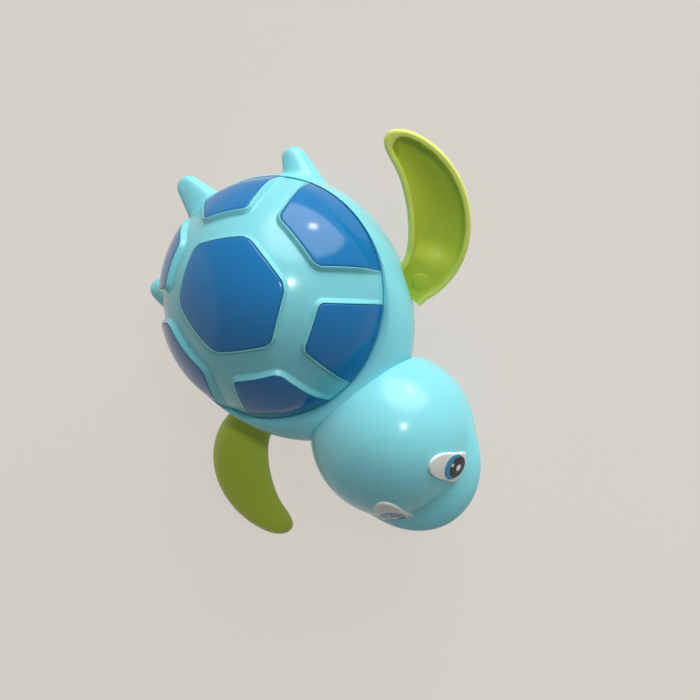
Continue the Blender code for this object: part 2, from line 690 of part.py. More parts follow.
def muzzle_form(name, grow, guide=True):
    """Rounded cheeks: an oval form that is flatter above its widest line than below."""
    bm = bmesh.new()
    bmesh.ops.create_uvsphere(bm, u_segments=24, v_segments=12, radius=1.0)
    for vert in bm.verts:
        turn = math.atan2(vert.co.y, vert.co.x)
        swell = (abs(math.cos(turn)) ** MUZZLE_SQUARENESS
                 + abs(math.sin(turn)) ** MUZZLE_SQUARENESS) ** (-1 / MUZZLE_SQUARENESS)
        height = MUZZLE_RISE if vert.co.z > 0 else MUZZLE_FALL
        vert.co = MUZZLE_CENTRE + Vector((vert.co.x * swell * (MUZZLE_HALF_WIDTH + grow),
                                          vert.co.y * swell * (MUZZLE_HALF_LENGTH + grow),
                                          vert.co.z * (height + grow)))
    return object_from(name, bm, guide)


def head_direction(azimuth, elevation):
    turn, rise = math.radians(azimuth), math.radians(elevation)
    return Vector((math.sin(turn) * math.cos(rise), -math.cos(turn) * math.cos(rise), math.sin(rise)))


def eye_form(name, mirror, grow, low, high, guide):
    """Arch-shaped insert that follows the head's ball between two radii."""
    middle = head_direction(*EYE_MIDDLE)
    bm = bmesh.new()
    rings = []
    for radius in (low, high):
        ring = []
        for azimuth, elevation in EYE_OUTLINE:
            out = head_direction(azimuth, elevation)
            sideways = (out - middle * out.dot(middle)).normalized()
            ring.append(bm.verts.new((out + sideways * grow / HEAD_RADIUS).normalized() * radius))
        rings.append(ring)
        centre = bm.verts.new(middle * radius)
        for i, vert in enumerate(ring):
            bm.faces.new((ring[i - 1], vert, centre))
    for i, vert in enumerate(rings[0]):
        bm.faces.new((rings[0][i - 1], vert, rings[1][i], rings[1][i - 1]))
    for vert in bm.verts:
        vert.co = Vector((vert.co.x * mirror, vert.co.y, vert.co.z)) + HEAD_CENTRE
    return object_from(name, bm, guide)


def build_head(turquoise, white):
    """Ball of the head with its neck, the muzzle seated on it and the two eyes."""
    face_y = HEAD_FACE_Y - SEAT_GAP
    reach = 2 * HEAD_RADIUS
    head = ball("head_ball", HEAD_CENTRE, HEAD_RADIUS, 26, 16, guide=False)
    corner = Vector((reach, reach, 2 * reach))
    cut(head, block("behind_head_face", (-reach, face_y, -reach), corner))
    neck_start = Vector((0.0, face_y - 2 * HEAD_WALL, HEAD_CENTRE.z))
    neck_end = Vector((0.0, NECK_END_Y, HEAD_CENTRE.z))
    join(head, cylinder("neck", NECK_RADIUS, neck_start, neck_end))
    hollow = ball("head_hollow", HEAD_CENTRE, HEAD_RADIUS - HEAD_WALL, 16, 10)
    cut(hollow, block("behind_head_wall", (-reach, face_y - HEAD_WALL, -reach), corner))
    cut(head, hollow)
    cut(head, cylinder("neck_bore", NECK_RADIUS - NECK_WALL, neck_start, neck_end + AXIS_Y * MM))
    for side, mirror in (("left", 1), ("right", -1)):
        low, high = HEAD_RADIUS - EYE_DEPTH, HEAD_RADIUS + EYE_PROUD
        cut(head, eye_form("eye_pocket_" + side, mirror, SEAT_GAP, low - SEAT_GAP, high + MM, True))
        eye = eye_form(side + "_eye", mirror, 0.0, low, high, False)
        finish(cut(eye, muzzle_form("muzzle_for_eye_" + side, SEAT_GAP)), white)
    finish(head, turquoise)
    muzzle = muzzle_form("muzzle", 0.0, guide=False)
    cut(muzzle, muzzle_form("muzzle_inside", -MUZZLE_WALL))
    cut(muzzle, ball("ball_for_muzzle", HEAD_CENTRE, HEAD_RADIUS + SEAT_GAP, 26, 16))
    return finish(muzzle, turquoise)


def flipper_section(half, share):
    """Closed section of the paddle as (sideways, normal), hollow side up.

    share runs from the root to the tip; the hollow fades out at both ends.
    """
    rim = min(FLIPPER_RIM, 0.45 * half)
    start = (share - HOLLOW_START) / (HOLLOW_FULL - HOLLOW_START)
    fade = min(1.0, max(0.0, start)) * min(1.0, half / FLIPPER_TIP_HALF)
    depth = FLIPPER_DEPTH * min(1.0, half / FLIPPER_TIP_HALF) ** 0.7
    sunk = (depth - FLIPPER_WALL) * fade
    rise = FLIPPER_RIM_RISE * min(1.0, half / FLIPPER_TIP_HALF)
    inner = half - rim
    section = [(-half, 0.0), (-half + 0.35 * rim, rise), (-inner, rise * 0.8)]
    for u in (-0.6, 0.0, 0.6):
        section.append((inner * u, -sunk * (1.0 - abs(u) ** 2.5)))
    section += [(inner, rise * 0.8), (half - 0.35 * rim, rise), (half, 0.0)]
    for angle in (35, 75, 105, 145):
        turn = math.radians(angle)
        section.append((half * math.cos(turn), -depth * math.sin(turn)))
    return section


def flipper_blade(name, mirror):
    """Paddle lofted along its centre line, in the axes of the shaft."""
    centres = bezier((FLIPPER_ROOT, FLIPPER_BEND_1, FLIPPER_BEND_2, FLIPPER_TIP), FLIPPER_STATIONS)
    centres.insert(0, (hub_start(), FLIPPER_ROOT[1]))
    tilt = math.radians(FLIPPER_ANGLE)
    out = AXIS_X
    along = Vector((0.0, math.cos(tilt), math.sin(tilt)))
    normal = out.cross(along)
    bm = bmesh.new()
    rings = []
    last = FLIPPER_STATIONS
    for i, (x, v) in enumerate(centres):
        share = max(0, i - 1) / (last - 0.85)
        x0, v0 = centres[max(i - 1, 0)]
        x1, v1 = centres[min(i + 1, last)]
        length = math.hypot(x1 - x0, v1 - v0)
        sideways = (out * (v1 - v0) - along * (x1 - x0)) / length
        half = FLIPPER_ROOT_HALF * (1.0 - share) + FLIPPER_TIP_HALF * share
        half += FLIPPER_SWELL * math.sin(math.pi * share)
        tip = max(0.0, (share - FLIPPER_TIP_START) / (1.0 - FLIPPER_TIP_START))
        half *= math.sqrt(1.0 - tip ** 2)
        middle = out * x + along * v + normal * HUB_DROP
        section = flipper_section(half, share)
        rings.append([bm.verts.new(middle + sideways * u + normal * h) for u, h in section])
    count = len(rings[0])
    bm.faces.new(rings[0])
    bm.faces.new(rings[-1])
    for low, high in zip(rings, rings[1:]):
        for i in range(count):
            bm.faces.new((low[i - 1], low[i], high[i], high[i - 1]))
    place_flipper(bm, mirror)
    return object_from(name, bm, location=SHAFT_POINT)


def place_flipper(bm, mirror):
    """The right flipper is the left one mirrored and turned half round on the shaft."""
    if mirror < 0:
        bmesh.ops.transform(bm, matrix=Matrix.Diagonal((-1.0, -1.0, -1.0, 1.0)), verts=bm.verts)


def build_flippers(material):
    for side, mirror in (("left", 1), ("right", -1)):
        start = (mirror * hub_start(), 0, 0)
        end = (mirror * (hub_start() + HUB_LENGTH), 0, 0)
        flipper = flipper_blade(side + "_flipper", mirror)
        join(flipper, cylinder("hub_" + side, HUB_RADIUS, start, end, sides=12, location=SHAFT_POINT))
        bore = SHAFT_SQUARE / 2 + SEAT_GAP
        ends = sorted((mirror * (hub_start() - MM), mirror * (SHAFT_HALF_LENGTH + SEAT_GAP)))
        cut(flipper, block("hub_bore_" + side, (ends[0], -bore, -bore), (ends[1], bore, bore),
                           location=SHAFT_POINT))
        finish(flipper, material)


def hub_start():
    return BOSS_END_X + SEAT_GAP


def build_shaft(steel, acetal):
    """Shaft with a square at each end for the flippers, and its two flanged bushes."""
    half = BOSS_END_X
    shaft = cylinder("flipper_shaft", SHAFT_RADIUS, (-half, 0, 0), (half, 0, 0), sides=12, guide=False,
                     location=SHAFT_POINT)
    side = SHAFT_SQUARE / 2
    join(shaft, block("shaft_square", (-SHAFT_HALF_LENGTH, -side, -side), (SHAFT_HALF_LENGTH, side, side),
                      location=SHAFT_POINT))
    finish(shaft, steel)
    for side_name, sx in (("left", 1), ("right", -1)):
        flange_end = BOSS_START_X - SEAT_GAP
        bush = cylinder(side_name + "_bush", BUSH_RADIUS, (sx * (flange_end - BUSH_FLANGE / 2), 0, 0),
                        (sx * (BOSS_END_X - SEAT_GAP), 0, 0), guide=False, location=SHAFT_POINT)
        join(bush, cylinder("bush_flange", BUSH_FLANGE_RADIUS, (sx * (flange_end - BUSH_FLANGE), 0, 0),
                            (sx * flange_end, 0, 0), location=SHAFT_POINT))
        cut(bush, cylinder("bush_bore", SHAFT_RADIUS + RUN_GAP, (sx * (flange_end - 2 * BUSH_FLANGE), 0, 0),
                           (sx * (BOSS_END_X + MM), 0, 0), sides=12, location=SHAFT_POINT))
        finish(bush, acetal)


def involute(angle):
    return math.tan(angle) - angle


def tooth_half_angle(teeth, radius):
    """Half the angle that a tooth fills at a radius, thinned by its share of the backlash."""
    pitch_radius = GEAR_MODULE * teeth / 2
    base_radius = pitch_radius * math.cos(math.radians(PRESSURE_ANGLE))
    at_pitch = math.pi / (2 * teeth) - BACKLASH / 4 / pitch_radius
    flank = math.acos(min(1.0, base_radius / max(radius, base_radius)))
    return at_pitch + involute(math.radians(PRESSURE_ANGLE)) - involute(flank)


def gear(name, teeth, phase, low_x, high_x, location, guide=False):
    """Spur gear along X with one tooth centred on the phase angle from +Y towards +Z."""
    pitch_radius = GEAR_MODULE * teeth / 2
    root = pitch_radius - DEDENDUM * GEAR_MODULE
    bm = bmesh.new()
    rim = []
    for tooth in range(teeth):
        middle = phase + math.tau * tooth / teeth
        radii = (root, pitch_radius, tip_radius(teeth))
        flank = [(radius, tooth_half_angle(teeth, radius)) for radius in radii]
        points = [(radius, -half) for radius, half in flank]
        points += [(radius, half) for radius, half in flank[::-1]]
        for radius, angle in points:
            turn = middle + angle
            rim.append(bm.verts.new((low_x, radius * math.cos(turn), radius * math.sin(turn))))
    face = bm.faces.new(rim)
    grown = bmesh.ops.extrude_face_region(bm, geom=[face])
    raised = [item for item in grown["geom"] if isinstance(item, bmesh.types.BMVert)]
    bmesh.ops.translate(bm, verts=raised, vec=(high_x - low_x, 0, 0))
    return object_from(name, bm, guide, location)


def build_gears(acetal, steel):
    """Two-stage train from the spring arbor up to the flipper shaft."""
    shaft, idler, main = gear_centres()
    to_idler = math.atan2(idler.y - shaft.y, idler.x - shaft.x)
    to_main = math.atan2(main.y - idler.y, main.x - idler.x)
    half = GEAR_WIDTH / 2
    low, high = SHAFT_GEAR_X - half, SHAFT_GEAR_X + half
    main_low, main_high = MAIN_GEAR_X - half, MAIN_GEAR_X + half
    pinion = gear("shaft_pinion", PINION_TEETH, to_idler, low, high, SHAFT_POINT)
    cut(pinion, cylinder("pinion_bore", SHAFT_RADIUS + SEAT_GAP, (low - MM, 0, 0), (high + MM, 0, 0),
                         sides=12, location=SHAFT_POINT))
    finish(pinion, acetal)

    place = Vector((0.0, idler.x, idler.y))
    wheel = gear("idler_gear", IDLER_TEETH, to_idler + math.pi + math.pi / IDLER_TEETH, low, high, place)
    join(wheel, cylinder("idler_hub", IDLER_HUB_RADIUS, (high - MM, 0, 0), (main_low + MM, 0, 0),
                         sides=12, location=place))
    join(wheel, gear("idler_pinion", PINION_TEETH, to_main, main_low, main_high, place, guide=True))
    cut(wheel, cylinder("idler_bore", PIN_RADIUS + RUN_GAP, (low - MM, 0, 0), (main_high + MM, 0, 0),
                        sides=SMALL_SIDES, location=place))
    finish(wheel, acetal)
    pin = cylinder("idler_pin", PIN_RADIUS, (BOX_LOW_X + SEAT_GAP, 0, 0), (BOX_HIGH_X - SEAT_GAP, 0, 0),
                   sides=SMALL_SIDES, guide=False, location=place)
    finish(pin, steel)

    place = Vector((0.0, main.x, main.y))
    wheel = gear("main_gear", MAIN_TEETH, to_main + math.pi + math.pi / MAIN_TEETH, main_low, main_high,
                 place)
    cut(wheel, cylinder("main_bore", ARBOR_RADIUS + SEAT_GAP, (main_low - MM, 0, 0), (main_high + MM, 0, 0),
                        sides=12, location=place))
    finish(wheel, acetal)
    arbor = cylinder("spring_arbor", ARBOR_RADIUS, (main_low - SEAT_GAP, 0, 0),
                     (BOX_HIGH_X - BOX_WALL - RUN_GAP, 0, 0), sides=12, guide=False, location=place)
    join(arbor, cylinder("arbor_necks", ARBOR_NECK_RADIUS, (BOX_LOW_X + SEAT_GAP, 0, 0),
                         (BOX_HIGH_X - SEAT_GAP, 0, 0), sides=SMALL_SIDES, location=place))
    finish(arbor, steel)


def build_mainspring(material):
    """Flat strip wound round the arbor, fast to the gearbox at its outer end."""
    main = gear_centres()[2]
    inner = ARBOR_RADIUS + SEAT_GAP + SPRING_THICKNESS / 2
    count = int(SPRING_TURNS * SPRING_POINTS)
    bm = bmesh.new()
    strip = []
    for i in range(count + 1):
        turn = math.tau * i / SPRING_POINTS
        radius = inner + (SPRING_OUTER_RADIUS - inner) * i / count
        place = (SPRING_X - SPRING_WIDTH / 2, radius * math.cos(turn), radius * math.sin(turn))
        strip.append(bm.verts.new(place))
    edges = [bm.edges.new(pair) for pair in zip(strip, strip[1:])]
    grown = bmesh.ops.extrude_edge_only(bm, edges=edges)
    raised = [item for item in grown["geom"] if isinstance(item, bmesh.types.BMVert)]
    bmesh.ops.translate(bm, verts=raised, vec=(SPRING_WIDTH, 0, 0))
    spring = object_from("mainspring", bm, location=(0.0, main.x, main.y))
    wall = spring.modifiers.new("strip_thickness", "SOLIDIFY")
    wall.thickness = SPRING_THICKNESS
    wall.offset = 0.0
    return finish(spring, material)


def box_form(name, low_x, high_x, margin, guide=True):
    """Convex outline round the three gear centres, extruded along X."""
    shaft, idler, main = gear_centres()
    circles = ((shaft, BOX_SHAFT_RADIUS), (idler, tip_radius(IDLER_TEETH) + BOX_MARGIN),
               (main, tip_radius(MAIN_TEETH) + BOX_MARGIN))
    bm = bmesh.new()
    for centre, radius in circles:
        for i in range(BOX_SIDES):
            turn = math.tau * i / BOX_SIDES
            y = centre.x + (radius + margin) * math.cos(turn)
            z = centre.y + (radius + margin) * math.sin(turn)
            for x in (low_x, high_x):
                bm.verts.new((x, y, z))
    wrap(bm)
    return object_from(name, bm, guide)


def box_bores(obj, name):
    """Holes for the shaft, the idler pin and the arbor right through the gearbox."""
    shaft, idler, main = gear_centres()
    bores = (("shaft", shaft, SHAFT_RADIUS + RUN_GAP), ("pin", idler, PIN_RADIUS + SEAT_GAP),
             ("arbor", main, ARBOR_NECK_RADIUS + RUN_GAP))
    for label, centre, radius in bores:
        cut(obj, cylinder(name + "_" + label, radius, (BOX_LOW_X - MM, centre.x, centre.y),
                          (BOX_HIGH_X + MM, centre.x, centre.y), sides=12))


def build_gearbox(material):
    """Cup that holds the train, its cover and the foot that stands on the belly."""
    cover_inside = BOX_LOW_X + COVER_THICKNESS
    base_low = cover_inside + SEAT_GAP
    base = box_form("gearbox_base", base_low, BOX_HIGH_X, BOX_WALL, guide=False)
    cut(base, box_form("gearbox_cavity", base_low - MM, BOX_HIGH_X - BOX_WALL, 0.0))
    cover = box_form("gearbox_cover", BOX_LOW_X, cover_inside, BOX_WALL, guide=False)
    for y, z in BOX_SCREW_PLACES:
        join(base, cylinder("box_screw_boss", SCREW_BOSS_RADIUS, (base_low, y, z), (BOX_HIGH_X, y, z),
                            sides=SMALL_SIDES))
        cut(base, cylinder("box_screw_hole", SCREW_RADIUS + SEAT_GAP, (base_low - MM, y, z),
                           (BOX_LOW_X + BOX_SCREW_LENGTH + SEAT_GAP, y, z), sides=SMALL_SIDES))
        join(cover, cylinder("cover_ear", SCREW_BOSS_RADIUS, (BOX_LOW_X + EAR_STEP, y, z),
                             (cover_inside - EAR_STEP, y, z), sides=SMALL_SIDES))
        cut(cover, cylinder("cover_screw_hole", SCREW_RADIUS + SEAT_GAP, (BOX_LOW_X - MM, y, z),
                            (cover_inside + MM, y, z), sides=SMALL_SIDES))
    box_bores(base, "base_bore")
    box_bores(cover, "cover_bore")
    y = BOX_FOOT_Y
    low, high = box_bottom(), box_bottom() + BOX_FOOT_THICKNESS
    reach = BOX_FOOT_REACH
    plates = (("low", BOX_LOW_X - reach, base_low + MM), ("high", BOX_HIGH_X - MM, BOX_HIGH_X + reach))
    for side, start, end in plates:
        join(base, block("foot_plate_" + side, (start, y - BOX_FOOT_HALF_WIDTH, low),
                         (end, y + BOX_FOOT_HALF_WIDTH, high)))
    notch = BOX_FOOT_HALF_WIDTH + SEAT_GAP
    cut(cover, block("cover_notch", (BOX_LOW_X - MM, y - notch, low - MM),
                     (cover_inside + MM, y + notch, high + SEAT_GAP)))
    for x, hole_y in box_foot_places():
        cut(base, cylinder("foot_plate_hole", SCREW_RADIUS + SEAT_GAP, (x, hole_y, low - MM),
                           (x, hole_y, high + MM), sides=SMALL_SIDES))
    finish(base, material)
    finish(cover, material)


def screw(name, head_at, direction, length, material):
    """Round-headed screw; head_at is the underside of its head."""
    head_at, direction = Vector(head_at), Vector(direction)
    body = cylinder(name, SCREW_RADIUS, head_at - direction * SCREW_HEAD / 2, head_at + direction * length,
                    sides=SMALL_SIDES, guide=False)
    join(body, cylinder(name + "_head", SCREW_HEAD_RADIUS, head_at - direction * SCREW_HEAD, head_at,
                        sides=SMALL_SIDES))
    return finish(body, material)


def build_screws(material):
    for i, (y, z) in enumerate(BOX_SCREW_PLACES, 1):
        screw("gearbox_screw_%d" % i, (BOX_LOW_X - SEAT_GAP, y, z), AXIS_X, BOX_SCREW_LENGTH, material)
    for side, (x, y) in zip(("right", "left"), box_foot_places()):
        screw("foot_screw_" + side, (x, y, foot_screw_top()), -AXIS_Z, FOOT_SCREW_LENGTH, material)
    for i, (x, y) in enumerate(belly_screw_places(), 1):
        screw("belly_screw_%d" % i, (x, y, BELLY_HEAD_Z + SCREW_HEAD), AXIS_Z, BELLY_SCREW_LENGTH, material)


def main():
    turquoise = new_material("turquoise_shell", TURQUOISE, 0.22)
    blue = new_material("blue_plates", BLUE, 0.12)
    lime = new_material("lime_flippers", LIME, 0.35)
    white = new_material("white_eyes", WHITE, 0.15)
    steel = new_material("steel", STEEL, 0.3, metallic=1.0)
    spring_steel = new_material("spring_steel", SPRING_STEEL, 0.35, metallic=1.0)
    acetal = new_material("acetal", ACETAL, 0.4)
    grey = new_material("gearbox_grey", GEARBOX_GREY, 0.45)
    build_carapace(turquoise)
    build_scute_liner(blue)
    build_upper_body(turquoise)
    build_lower_body(turquoise)
    build_head(turquoise, white)
    build_flippers(lime)
    build_shaft(steel, acetal)
    build_gears(acetal, steel)
    build_mainspring(spring_steel)
    build_gearbox(grey)
    build_screws(steel)


main()
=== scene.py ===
"""Looks of the swimming turtle: smooth mouldings, glossy plastics, floor, lamps and camera.

Lengths are written in millimetres and scaled to metres when a piece is finished.
+X is the turtle's left side, the head points to -Y and +Z is up.
"""

import json
import math

import bmesh
import bpy
from mathutils import Matrix, Vector
from mathutils.geometry import interpolate_bezier


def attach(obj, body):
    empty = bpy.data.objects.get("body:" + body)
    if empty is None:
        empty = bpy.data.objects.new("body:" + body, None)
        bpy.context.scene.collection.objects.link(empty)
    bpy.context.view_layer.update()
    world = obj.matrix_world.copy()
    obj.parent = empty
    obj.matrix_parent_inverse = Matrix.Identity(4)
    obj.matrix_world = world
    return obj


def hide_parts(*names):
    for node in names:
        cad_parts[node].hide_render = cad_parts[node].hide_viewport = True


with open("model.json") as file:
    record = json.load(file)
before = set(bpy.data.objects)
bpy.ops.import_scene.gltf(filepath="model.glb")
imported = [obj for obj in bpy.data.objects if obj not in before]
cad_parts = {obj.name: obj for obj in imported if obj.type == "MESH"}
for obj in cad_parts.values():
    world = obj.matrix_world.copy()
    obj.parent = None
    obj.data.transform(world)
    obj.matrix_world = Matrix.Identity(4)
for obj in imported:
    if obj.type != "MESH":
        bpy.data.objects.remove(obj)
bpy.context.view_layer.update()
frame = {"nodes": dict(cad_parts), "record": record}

MM = 0.001
SHARP_ANGLE = 40.0
# Searches along a ray, from the nearest place to the farthest
SEARCH_STEPS = 30
NEAR = 5.0
FAR = 60.0

# Shell dome
RIM_Z = 33.5
RIM_RADIUS = 30.9
DOME_HEIGHT = 23.8
DOME_POWER = 0.74
DOME_WALL = 1.5
DOME_FOOT = 2.0
DOME_STEPS = 180
OUTSIDE_STEPS = 56
INSIDE_STEPS = 30
FOCUS = Vector((0.0, 0.0, RIM_Z + (DOME_HEIGHT ** 2 - RIM_RADIUS ** 2) / (2 * DOME_HEIGHT)))

# Plates: corner places on the dome, how they are cut at the rim, and their raised bezels
# Hexagon's front corner and its side corners, then the inner corners of the others
HEX_FRONT = 15.1
HEX_SIDE = (11.8, 7.4)
SIDE_PLATE = (19.0, 7.5)
END_PLATE_1 = (4.2, 20.2)
END_PLATE_2 = (14.3, 14.4)
SIDE_RIM_ANGLE = 29.2
END_RIM_ANGLES = (43.5, 84.0)
PLATE_CORNER = 1.8
CORNER_GROWTH = 0.6
CORNER_STEPS = 8
LONG_EDGE = 1.5
EDGE_CUTS = 11
TRIM_RADIUS = 30.85
TRIM_CUTS = 16
TRIM_TURN = 2.5
FADE_RADIUS = 27.5
RIM_SHARE = 0.28
BEZEL_REACH = 1.6
BEZEL_FOOT_Z = RIM_Z - 0.5
PAD_GAP = 0.12
PAD_FOOT_Z = RIM_Z + 0.2
# (distance in from the bezel's foot, height over the dome)
BEZEL_STEPS = ((0.0, -0.25), (0.2, -0.02), (0.35, 0.03), (0.5, 0.11), (0.65, 0.27), (0.8, 0.5), (0.95, 0.76),
               (1.08, 0.98), (1.18, 1.12), (1.27, 1.21), (1.36, 1.28), (1.45, 1.31), (1.53, 1.29),
               (1.58, 1.22), (1.60, 1.1), (1.61, -0.4))
PAD_STEPS = ((0.0, 0.6), (0.01, 1.02), (0.05, 1.13), (0.12, 1.2), (0.22, 1.26), (0.36, 1.29), (0.6, 1.31))
PAD_RINGS = 22

# Hull
HALF_WIDTH = 32.2
BACK_LENGTH = 34.8
FRONT_LENGTH = 38.6
HULL_SHIFT = 2.0
HULL_WALL = 1.8
HEAD_FACE_Y = -34.5
SHOULDER_Z = RIM_Z - 7.0
CREST_Z = RIM_Z + 0.7
BOWL_POWER = 1.9
BELLY_RADIUS = 14.0
SEAM_Z = 12.0
SEAM_GAP = 0.3
GROOVE_RADIUS = 30.9
LEDGE_Z = RIM_Z - 2.3
LEDGE_RADIUS = 21.5
LEDGE_THICKNESS = 1.5
HULL_STEPS = 192
COLLAR_STEPS = (7, 22)
SIDE_STEPS = 26
WALL_STEPS = 12
# (distance in from the side, distance from the seam)
SEAM_ROUND = ((0.06, 0.25), (0.2, 0.07), (0.4, 0.0))
# (distance out from the belly's flat, height)
BELLY_ROUND = ((0.25, 0.22), (-0.3, 0.03), (-1.2, 0.0), (-7.0, 0.0))
# Base, base radius, tip, tip radius
NUBS = ((Vector((-0.6, 32.0, 29.5)), 5.4, Vector((-0.6, 39.4, 30.8)), 3.3),
        (Vector((23.5, 18.0, 26.0)), 5.3, Vector((26.2, 25.5, 27.4)), 3.3),
        (Vector((-23.5, 18.0, 26.0)), 5.3, Vector((-26.2, 25.5, 27.4)), 3.3))
NUB_BLEND = 1.8
NUB_REACH = 14.0
NUB_BACK = 4.0
NUB_SKIRT = 1.2 * NUB_BLEND
NUB_TOP_Z = CREST_Z - 0.2
NUB_EASE = 2.4
NUB_FACING = 0.1

# Head
HEAD_CENTRE = Vector((0.0, -45.7, 21.7))
HEAD_RADIUS = 21.3
HEAD_SEGMENTS = (220, 150)
NECK_GAP = 0.2
MUZZLE_OFFSET = Vector((0.0, -4.8, 0.9))
MUZZLE_HALF = (18.9, 22.1)
MUZZLE_RISE = 6.4
MUZZLE_FALL = 13.0
MUZZLE_BLEND = 1.7
MUZZLE_CREASE = 1.4

# Eyes, in degrees round the head's ball and up it
EYE_MIDDLE = (30.0, 22.0)
EYE_OUTLINE = ((41, 14), (41.5, 23), (41.5, 33), (40, 39), (36, 43), (30, 44.5), (24.5, 42.5),
               (20.8, 37), (19.8, 28), (19.2, 19), (19.5, 12), (21.5, 6.5), (25, 3.5), (33, 9))
EYE_PROUD = 0.7
EYE_SUNK = 0.8
# Heights over the ball of the rings that round the insert's edge, and the step in to each
EYE_EDGE = (0.38, 0.52, 0.62, 0.68, EYE_PROUD)
EYE_EDGE_STEP = 0.12
EYE_RINGS = 12
EYE_CURVE_STEPS = 7
# Printed discs: degrees round the ball, degrees up it, and radius
IRIS = (31.1, 23.4, 3.35)
PUPIL = (31.2, 20.0, 2.85)
GLINTS = ((31.0, 19.2, 0.85), (32.6, 26.0, 0.45))
PRINT_SOFTNESS = 0.12

# Flippers: their seats in the hull, the cups that line the seats, and the paddles
SHAFT_POINT = Vector((0.0, -18.3, 19.2))
SEAT_X = 25.4
SEAT_RADIUS = 7.1
SEAT_DEPTH = 20.0
SEAT_STEPS = 96
ACROSS = Matrix.Rotation(math.pi / 2, 4, "Y")
CUP_HOLE = 3.1
CUP_WALL = 0.9
CUP_SINK = 0.15
CUP_OVERLAP = 0.05
CUP_RINGS = 6
FLIPPER_ANGLE = 31.8
FLIPPER_LINE = ((28.8, 0.2), (43.2, -1.85), (55.9, 19.4), (49.5, 32.4))
FLIPPER_START_X = 25.7
ROOT_HALF = 5.95
TIP_HALF = 3.0
SWELL = 3.27
TIP_START = 0.86
TIP_POWER = 2.7
FLIPPER_RIM = 1.4
RIM_RISE = 1.0
ROOT_RISE = 0.35
TIP_DROP = 0.4
RIM_ROUND = 0.65
# Painted highlight on the flippers' rims: it fades out over this distance in from the rim, and the edges of
# the back get a weaker share of it
RIM_HIGHLIGHT_FADE = 0.35
EDGE_HIGHLIGHT_TINT = 0.35
EDGE_HIGHLIGHT_POWER = 6
WALL_RUN = 0.9
WALL_SHARE = 0.45
SECTION_STEPS = 64
BACK_STEPS = 28
LINE_STEPS = 400
FLIPPER_DEPTH = 3.6
FLIPPER_WALL = 1.3
HOLLOW_SPAN = (0.14, 0.30)
STATIONS = 80
HUB_DROP = 1.9
MARK = (30.4, -0.7)
MARK_RADIUS = 2.3
MARK_TAPER = 0.25
MARK_DEPTH = 1.3
MARK_SUNK = 0.4
MARK_ROUND = 0.12

# Finishes: (red, green, blue) of the darker and the lighter tone of each
SHELL_TONES = ((0.215, 0.69, 0.76), (0.24, 0.74, 0.81))
BODY_TONES = ((0.245, 0.77, 0.85), (0.275, 0.83, 0.91))
PLATE_TONES = ((0.002, 0.18, 0.46), (0.004, 0.205, 0.52))
LIME_TONES = ((0.54, 0.69, 0.048), (0.59, 0.74, 0.063))
# Painted highlight: paler lime where light catches the flippers' rims
LIME_RIM_HIGHLIGHT_TONE = (0.86, 0.97, 0.20)
EYE_TONES = ((0.80, 0.84, 0.80), (0.86, 0.88, 0.85))
IRIS_TONE = (0.02, 0.27, 0.50)
PUPIL_TONE = (0.008, 0.009, 0.010)
GLINT_TONE = (0.85, 0.87, 0.87)
STEEL_TONES = ((0.56, 0.56, 0.58), (0.68, 0.68, 0.70))
STRIP_TONES = ((0.24, 0.24, 0.28), (0.36, 0.36, 0.39))
ACETAL_TONES = ((0.76, 0.75, 0.70), (0.83, 0.82, 0.77))
GREY_TONES = ((0.39, 0.40, 0.42), (0.46, 0.47, 0.49))

# Patterns in the finishes: noise scales, and bump heights in metres
NOISE_SPAN = (0.3, 0.7)
PLASTIC_DRIFT = 42.0
EYE_DRIFT = 60.0
METAL_DRIFT = 260.0
WEAR_SCALE = 140.0
RIPPLE_SCALE = 95.0
RIPPLE_HEIGHT = 0.0004
GRAIN_SCALE = 1400.0
GRAIN_HEIGHT = 0.00003
COAT_ROUGHNESS = 0.06

# Floor, surroundings and lamps, in metres and watts
FLOOR_HALF = 3.0
FLOOR_DRIFT = 3.0
FLOOR_ROUGHNESS = 0.9
FLOOR_TONES = ((0.650, 0.616, 0.576), (0.666, 0.632, 0.592))
FLOOR_GLOW = 1.11
FLOOR_GLOW_SHARE = 0.8
FILL_TONE = (0.095, 0.095, 0.095)
PALE_TONE = (0.64, 0.60, 0.56)
LAMP_TARGET = Vector((0.0, 0.0, 0.03))
# Name, place, size and power
LAMPS = (("window", (0.87, 0.43, 0.30), 1.1, 12.8),
         ("window_pane", (0.86, 0.36, 0.20), 0.09, 0.5),
         ("lamp", (0.59, -0.19, 0.82), 0.10, 1.9),
         ("wall_bounce", (-1.0, 0.75, 0.5), 1.8, 3.4))

# Camera, fitted to the photograph
CAMERA_PLACE = Vector((81.4, -78.6, 259.8))
CAMERA_ROWS = ((0.714, -0.5929, -0.3724), (-0.633, -0.774, 0.0186), (-0.2992, 0.2225, -0.9279))
CAMERA_LENS = 50.23
SENSOR_WIDTH = 36.0
CLIP_START = 0.01


# Materials

def node(tree, kind, settings=None, **inputs):
    """Add a shader node with its settings; an input is a value or another node's output."""
    made = tree.nodes.new(kind)
    for name, value in (settings or {}).items():
        setattr(made, name, value)
    for name, value in inputs.items():
        socket = made.inputs[int(name[1:])] if name[1:].isdigit() else made.inputs[name.replace("_", " ")]
        if isinstance(value, bpy.types.NodeSocket):
            tree.links.new(value, socket)
        else:
            socket.default_value = value
    return made


def blank_material(name):
    material = bpy.data.materials.new(name)
    material.use_nodes = True
    tree = material.node_tree
    return material, tree, tree.nodes["Principled BSDF"]


def mottled(tree, place, tones, scale):
    """Colour that drifts between two close tones over the piece."""
    noise = node(tree, "ShaderNodeTexNoise", Vector=place, Scale=scale, Detail=3.0)
    ramp = node(tree, "ShaderNodeValToRGB", Fac=noise.outputs["Fac"])
    for element, position, tone in zip(ramp.color_ramp.elements, NOISE_SPAN, tones):
        element.position = position
        element.color = (*tone, 1.0)
    return ramp.outputs["Color"]


